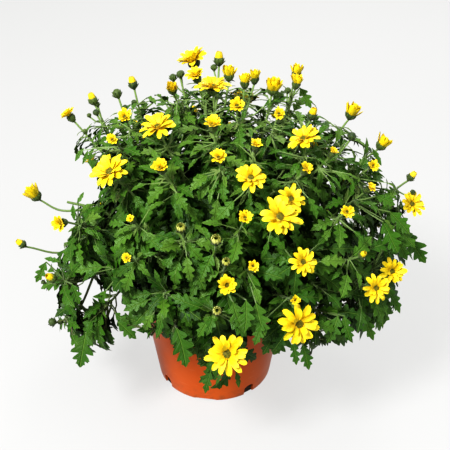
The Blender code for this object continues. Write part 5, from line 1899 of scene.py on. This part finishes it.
# Assembly

def dress(piece, slot, *nodes):
    """Hides the nodes that a piece replaces and hangs the piece on the root body; the finish passed as slot
    is not used.
    """
    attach(piece, "root")
    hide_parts(*nodes)


def add_side_bud(green, bud, draw):
    """A green bud on a short stalk of its own."""
    root, head = bud
    foot = np.array(head.place) - np.array(head.face) * calyx_depth(head)
    start = np.array(root)
    spots = np.array([start, start * 0.4 + foot * 0.6 - np.array(head.face) * 0.002, foot])
    add_tube(green, spots, SIDE_BUD_STALK, TUBE_SIDES["petiole"], STALK, 0.6)
    add_calyx(green, head, draw)


def side_buds(twigs):
    """The photograph's small green buds, each on the twig that passes nearest to its sight line."""
    found = []
    for number, (across_seen, down_seen, width) in enumerate(SEEN_SIDE_BUDS):
        line = np.array(sight_line(Seen(across_seen, down_seen, width, 0)))
        offsets = twigs.spots - np.array(EYE)
        along = offsets @ line
        gaps = np.linalg.norm(offsets - np.outer(along, line), axis=1)
        usable = np.where(along < seen_depth(across_seen, down_seen) + SIDE_BUD_DEPTH, gaps, 1)
        index = int(usable.argmin())
        if usable[index] > SIDE_BUD_REACH:
            continue
        place = Vector(np.array(EYE) + line * along[index])
        root = twigs.places[index] - UP * 0.004
        head = Head(f"side_bud_{number}", "bud", width * 0.001, place, facing(place, (0, 0, 0), "bud"))
        found.append((twigs.owners[index], (root, head)))
    return found


def seen_depth(across_seen, down_seen):
    """How far from the photograph's eye a sight line meets the dome."""
    return (seen_at(Seen(across_seen, down_seen, 0, 0)) - EYE).length


def grow_green(green, stem, index, shoots, leaves, extras, around, draw):
    """A stem, its shoots and all their leaves."""
    spots = smooth_curve(stem.points, 5)
    radii = np.interp(np.linspace(0, 1, len(spots)), np.linspace(0, 1, len(stem.radii)), stem.radii)
    add_tube(green, spots, radii, TUBE_SIDES["stem"], STALK, 0.5)
    add_extra_leaves(green, stem.points[2:], 0.3, around, draw)
    for shoot in shoots:
        spots = smooth_curve(shoot.points, 6)
        radii = np.linspace(shoot.radii[0], shoot.radii[-1], len(spots))
        add_tube(green, spots, radii, TUBE_SIDES["shoot"], STALK, 0.5)
        taper, last = (0.5, 0.75) if shoot.head else (0.35, 1.0)
        add_extra_leaves(green, shoot.points, taper, around, draw, last)
        add_young_leaves(green, shoot.points, around, draw)
    for leaf in leaves:
        if leaf.stem == index:
            add_leaf(green, leaf, draw)
    for owner, leaf, tone, fine in extras:
        if owner == index:
            place_extra(green, leaf, draw, tone, fine)


def grow_pieces(stems, heads, shoots, leaves, greens, yellows):
    """One green piece for each leafy stem, and a yellow one for the small heads on it."""
    around = Surroundings(heads)
    twigs = Twigs(stems, shoots)
    extras = shell_leaves(twigs, around) + inner_leaves(twigs, around) + seen_leaves(twigs, around)
    buds = side_buds(twigs)
    own = sorted([head for head in heads if head.kind != "bud"], key=lambda head: -head.width)[:OWN_BLOOMS]
    own_names = [head.name for head in own]
    for index, stem in enumerate(stems):
        draw = random.Random(SEED * 100 + index)
        green, yellow = Growth(), Growth()
        mine = [shoot for shoot in shoots if shoot.stem == index]
        grow_green(green, stem, index, mine, leaves, extras, around, draw)
        for owner, bud in buds:
            if owner == index:
                add_side_bud(green, bud, draw)
        for shoot in mine:
            if not shoot.head:
                continue
            target = Growth() if shoot.head.name in own_names else yellow
            add_head(green, target, shoot.head, draw)
            if target is not yellow:
                number = own_names.index(shoot.head.name) + 1
                bloom = target.build(f"bloom_petals_{number:02d}", yellows)
                dress(bloom, "petal_yellow", f"bloom_{number:02d}")
        dress(green.build(f"foliage_{index + 1:02d}", greens), "leaf_green", stem.name)
        if yellow.count:
            dress(yellow.build(f"small_blooms_{index + 1:02d}", yellows), "petal_yellow", stem.name)


def stage_plain(name, verts, faces, material):
    """Part of the plain studio, which sends no stray light back to the plant."""
    mesh = bpy.data.meshes.new(name)
    mesh.from_pydata(verts, [], faces)
    mesh.materials.append(material)
    piece = add_object(name, mesh)
    piece.visible_diffuse = False
    return piece


def make_studio():
    """A pale floor, and a pale wall far round it that only the camera sees, in low views."""
    glow = {"Emission_Color": GLOW_COLOUR, "Emission_Strength": FLOOR_GLOW}
    shade = Shade("pale_floor", 0.9, Base_Color=FLOOR_COLOUR, **glow)
    reach = FLOOR_REACH
    corners = [(-reach, -reach, 0), (reach, -reach, 0), (reach, reach, 0), (-reach, reach, 0)]
    stage_plain("studio_floor", corners, [(0, 1, 2, 3)], shade.material)
    turns = [2 * math.pi * k / WALL_SIDES for k in range(WALL_SIDES)]
    ring = [(WALL_REACH * math.cos(turn), WALL_REACH * math.sin(turn)) for turn in turns]
    verts = [(x, y, z) for z in (0, WALL_HEIGHT) for x, y in ring]
    near, far = range(WALL_SIDES), [(k + 1) % WALL_SIDES for k in range(WALL_SIDES)]
    faces = [(k, j, j + WALL_SIDES, k + WALL_SIDES) for k, j in zip(near, far)]
    wall = stage_plain("studio_wall", verts, faces, shade.material)
    wall.visible_glossy = wall.visible_transmission = wall.visible_shadow = False


def add_lamp(name, place, target, size, power):
    """A round, soft lamp that points at a target."""
    light = bpy.data.lights.new(name, "AREA")
    light.shape = "DISK"
    light.size = size
    light.energy = power
    lamp = add_object(name, light)
    lamp.location = place
    lamp.rotation_euler = (Vector(target) - Vector(place)).to_track_quat("-Z", "Y").to_euler()


def light_scene():
    """A sky brighter above than below, the lamps, and how the picture turns light into tones."""
    world = bpy.data.worlds.new("studio")
    bpy.context.scene.world = world
    world.use_nodes = True
    tree = world.node_tree
    height = tree.nodes.new("ShaderNodeSeparateXYZ")
    tree.links.new(tree.nodes.new("ShaderNodeTexCoord").outputs["Generated"], height.inputs[0])
    climb = tree.nodes.new("ShaderNodeMapRange")
    tree.links.new(height.outputs[2], climb.inputs["Value"])
    ends = zip(("From Min", "From Max", "To Min", "To Max"), (*SKY_SPAN, GROUND_LIGHT, SKY_LIGHT))
    for name, value in ends:
        climb.inputs[name].default_value = value
    tree.links.new(climb.outputs[0], tree.nodes["Background"].inputs[1])
    tree.nodes["Background"].inputs[0].default_value = (1, 1, 1, 1)
    for name, lamp in LAMPS.items():
        add_lamp(name, *lamp)
    view = bpy.context.scene.view_settings
    view.view_transform = "Standard"
    view.look = "High Contrast"


def add_camera():
    """The photograph's eye."""
    lens = bpy.data.cameras.new("camera")
    lens.sensor_fit = "HORIZONTAL"
    lens.angle = math.radians(2 * HALF_VIEW)
    camera = add_object("camera", lens)
    camera.location = EYE
    camera.rotation_euler = (math.radians(90 - TILT), 0, 0)
    bpy.context.scene.camera = camera


def main():
    """The dressed plant, its pot and soil, the light and the camera."""
    greens = [
        leaf_finish("leaf_green", LEAF_AGES_AND_SHADE, LEAF_PALE, 0.46),
        leaf_finish("leaf_underside", UNDER_AGES_AND_SHADE, UNDER_PALE, 0.62),
        stalk_finish(),
        calyx_finish(),
    ]
    yellows = [
        petal_finish("petal_yellow", *YELLOW),
        floret_finish("disc_olive", *DISC_OLIVE),
        floret_finish("disc_gold", *DISC_GOLD),
        petal_finish("petal_pale", *YOUNG_YELLOW),
    ]
    stems, heads, shoots, leaves = grow_plant()
    grow_pieces(stems, heads, shoots, leaves, greens, yellows)
    dress(make_pot(pot_finish()), "pot_plastic", "pot")
    earth, grit = soil_finish("potting_mix", *EARTH), soil_finish("pale_grit", *GRIT)
    dress(make_soil([earth, grit]), "soil", "potting_soil")
    make_studio()
    light_scene()
    add_camera()


main()
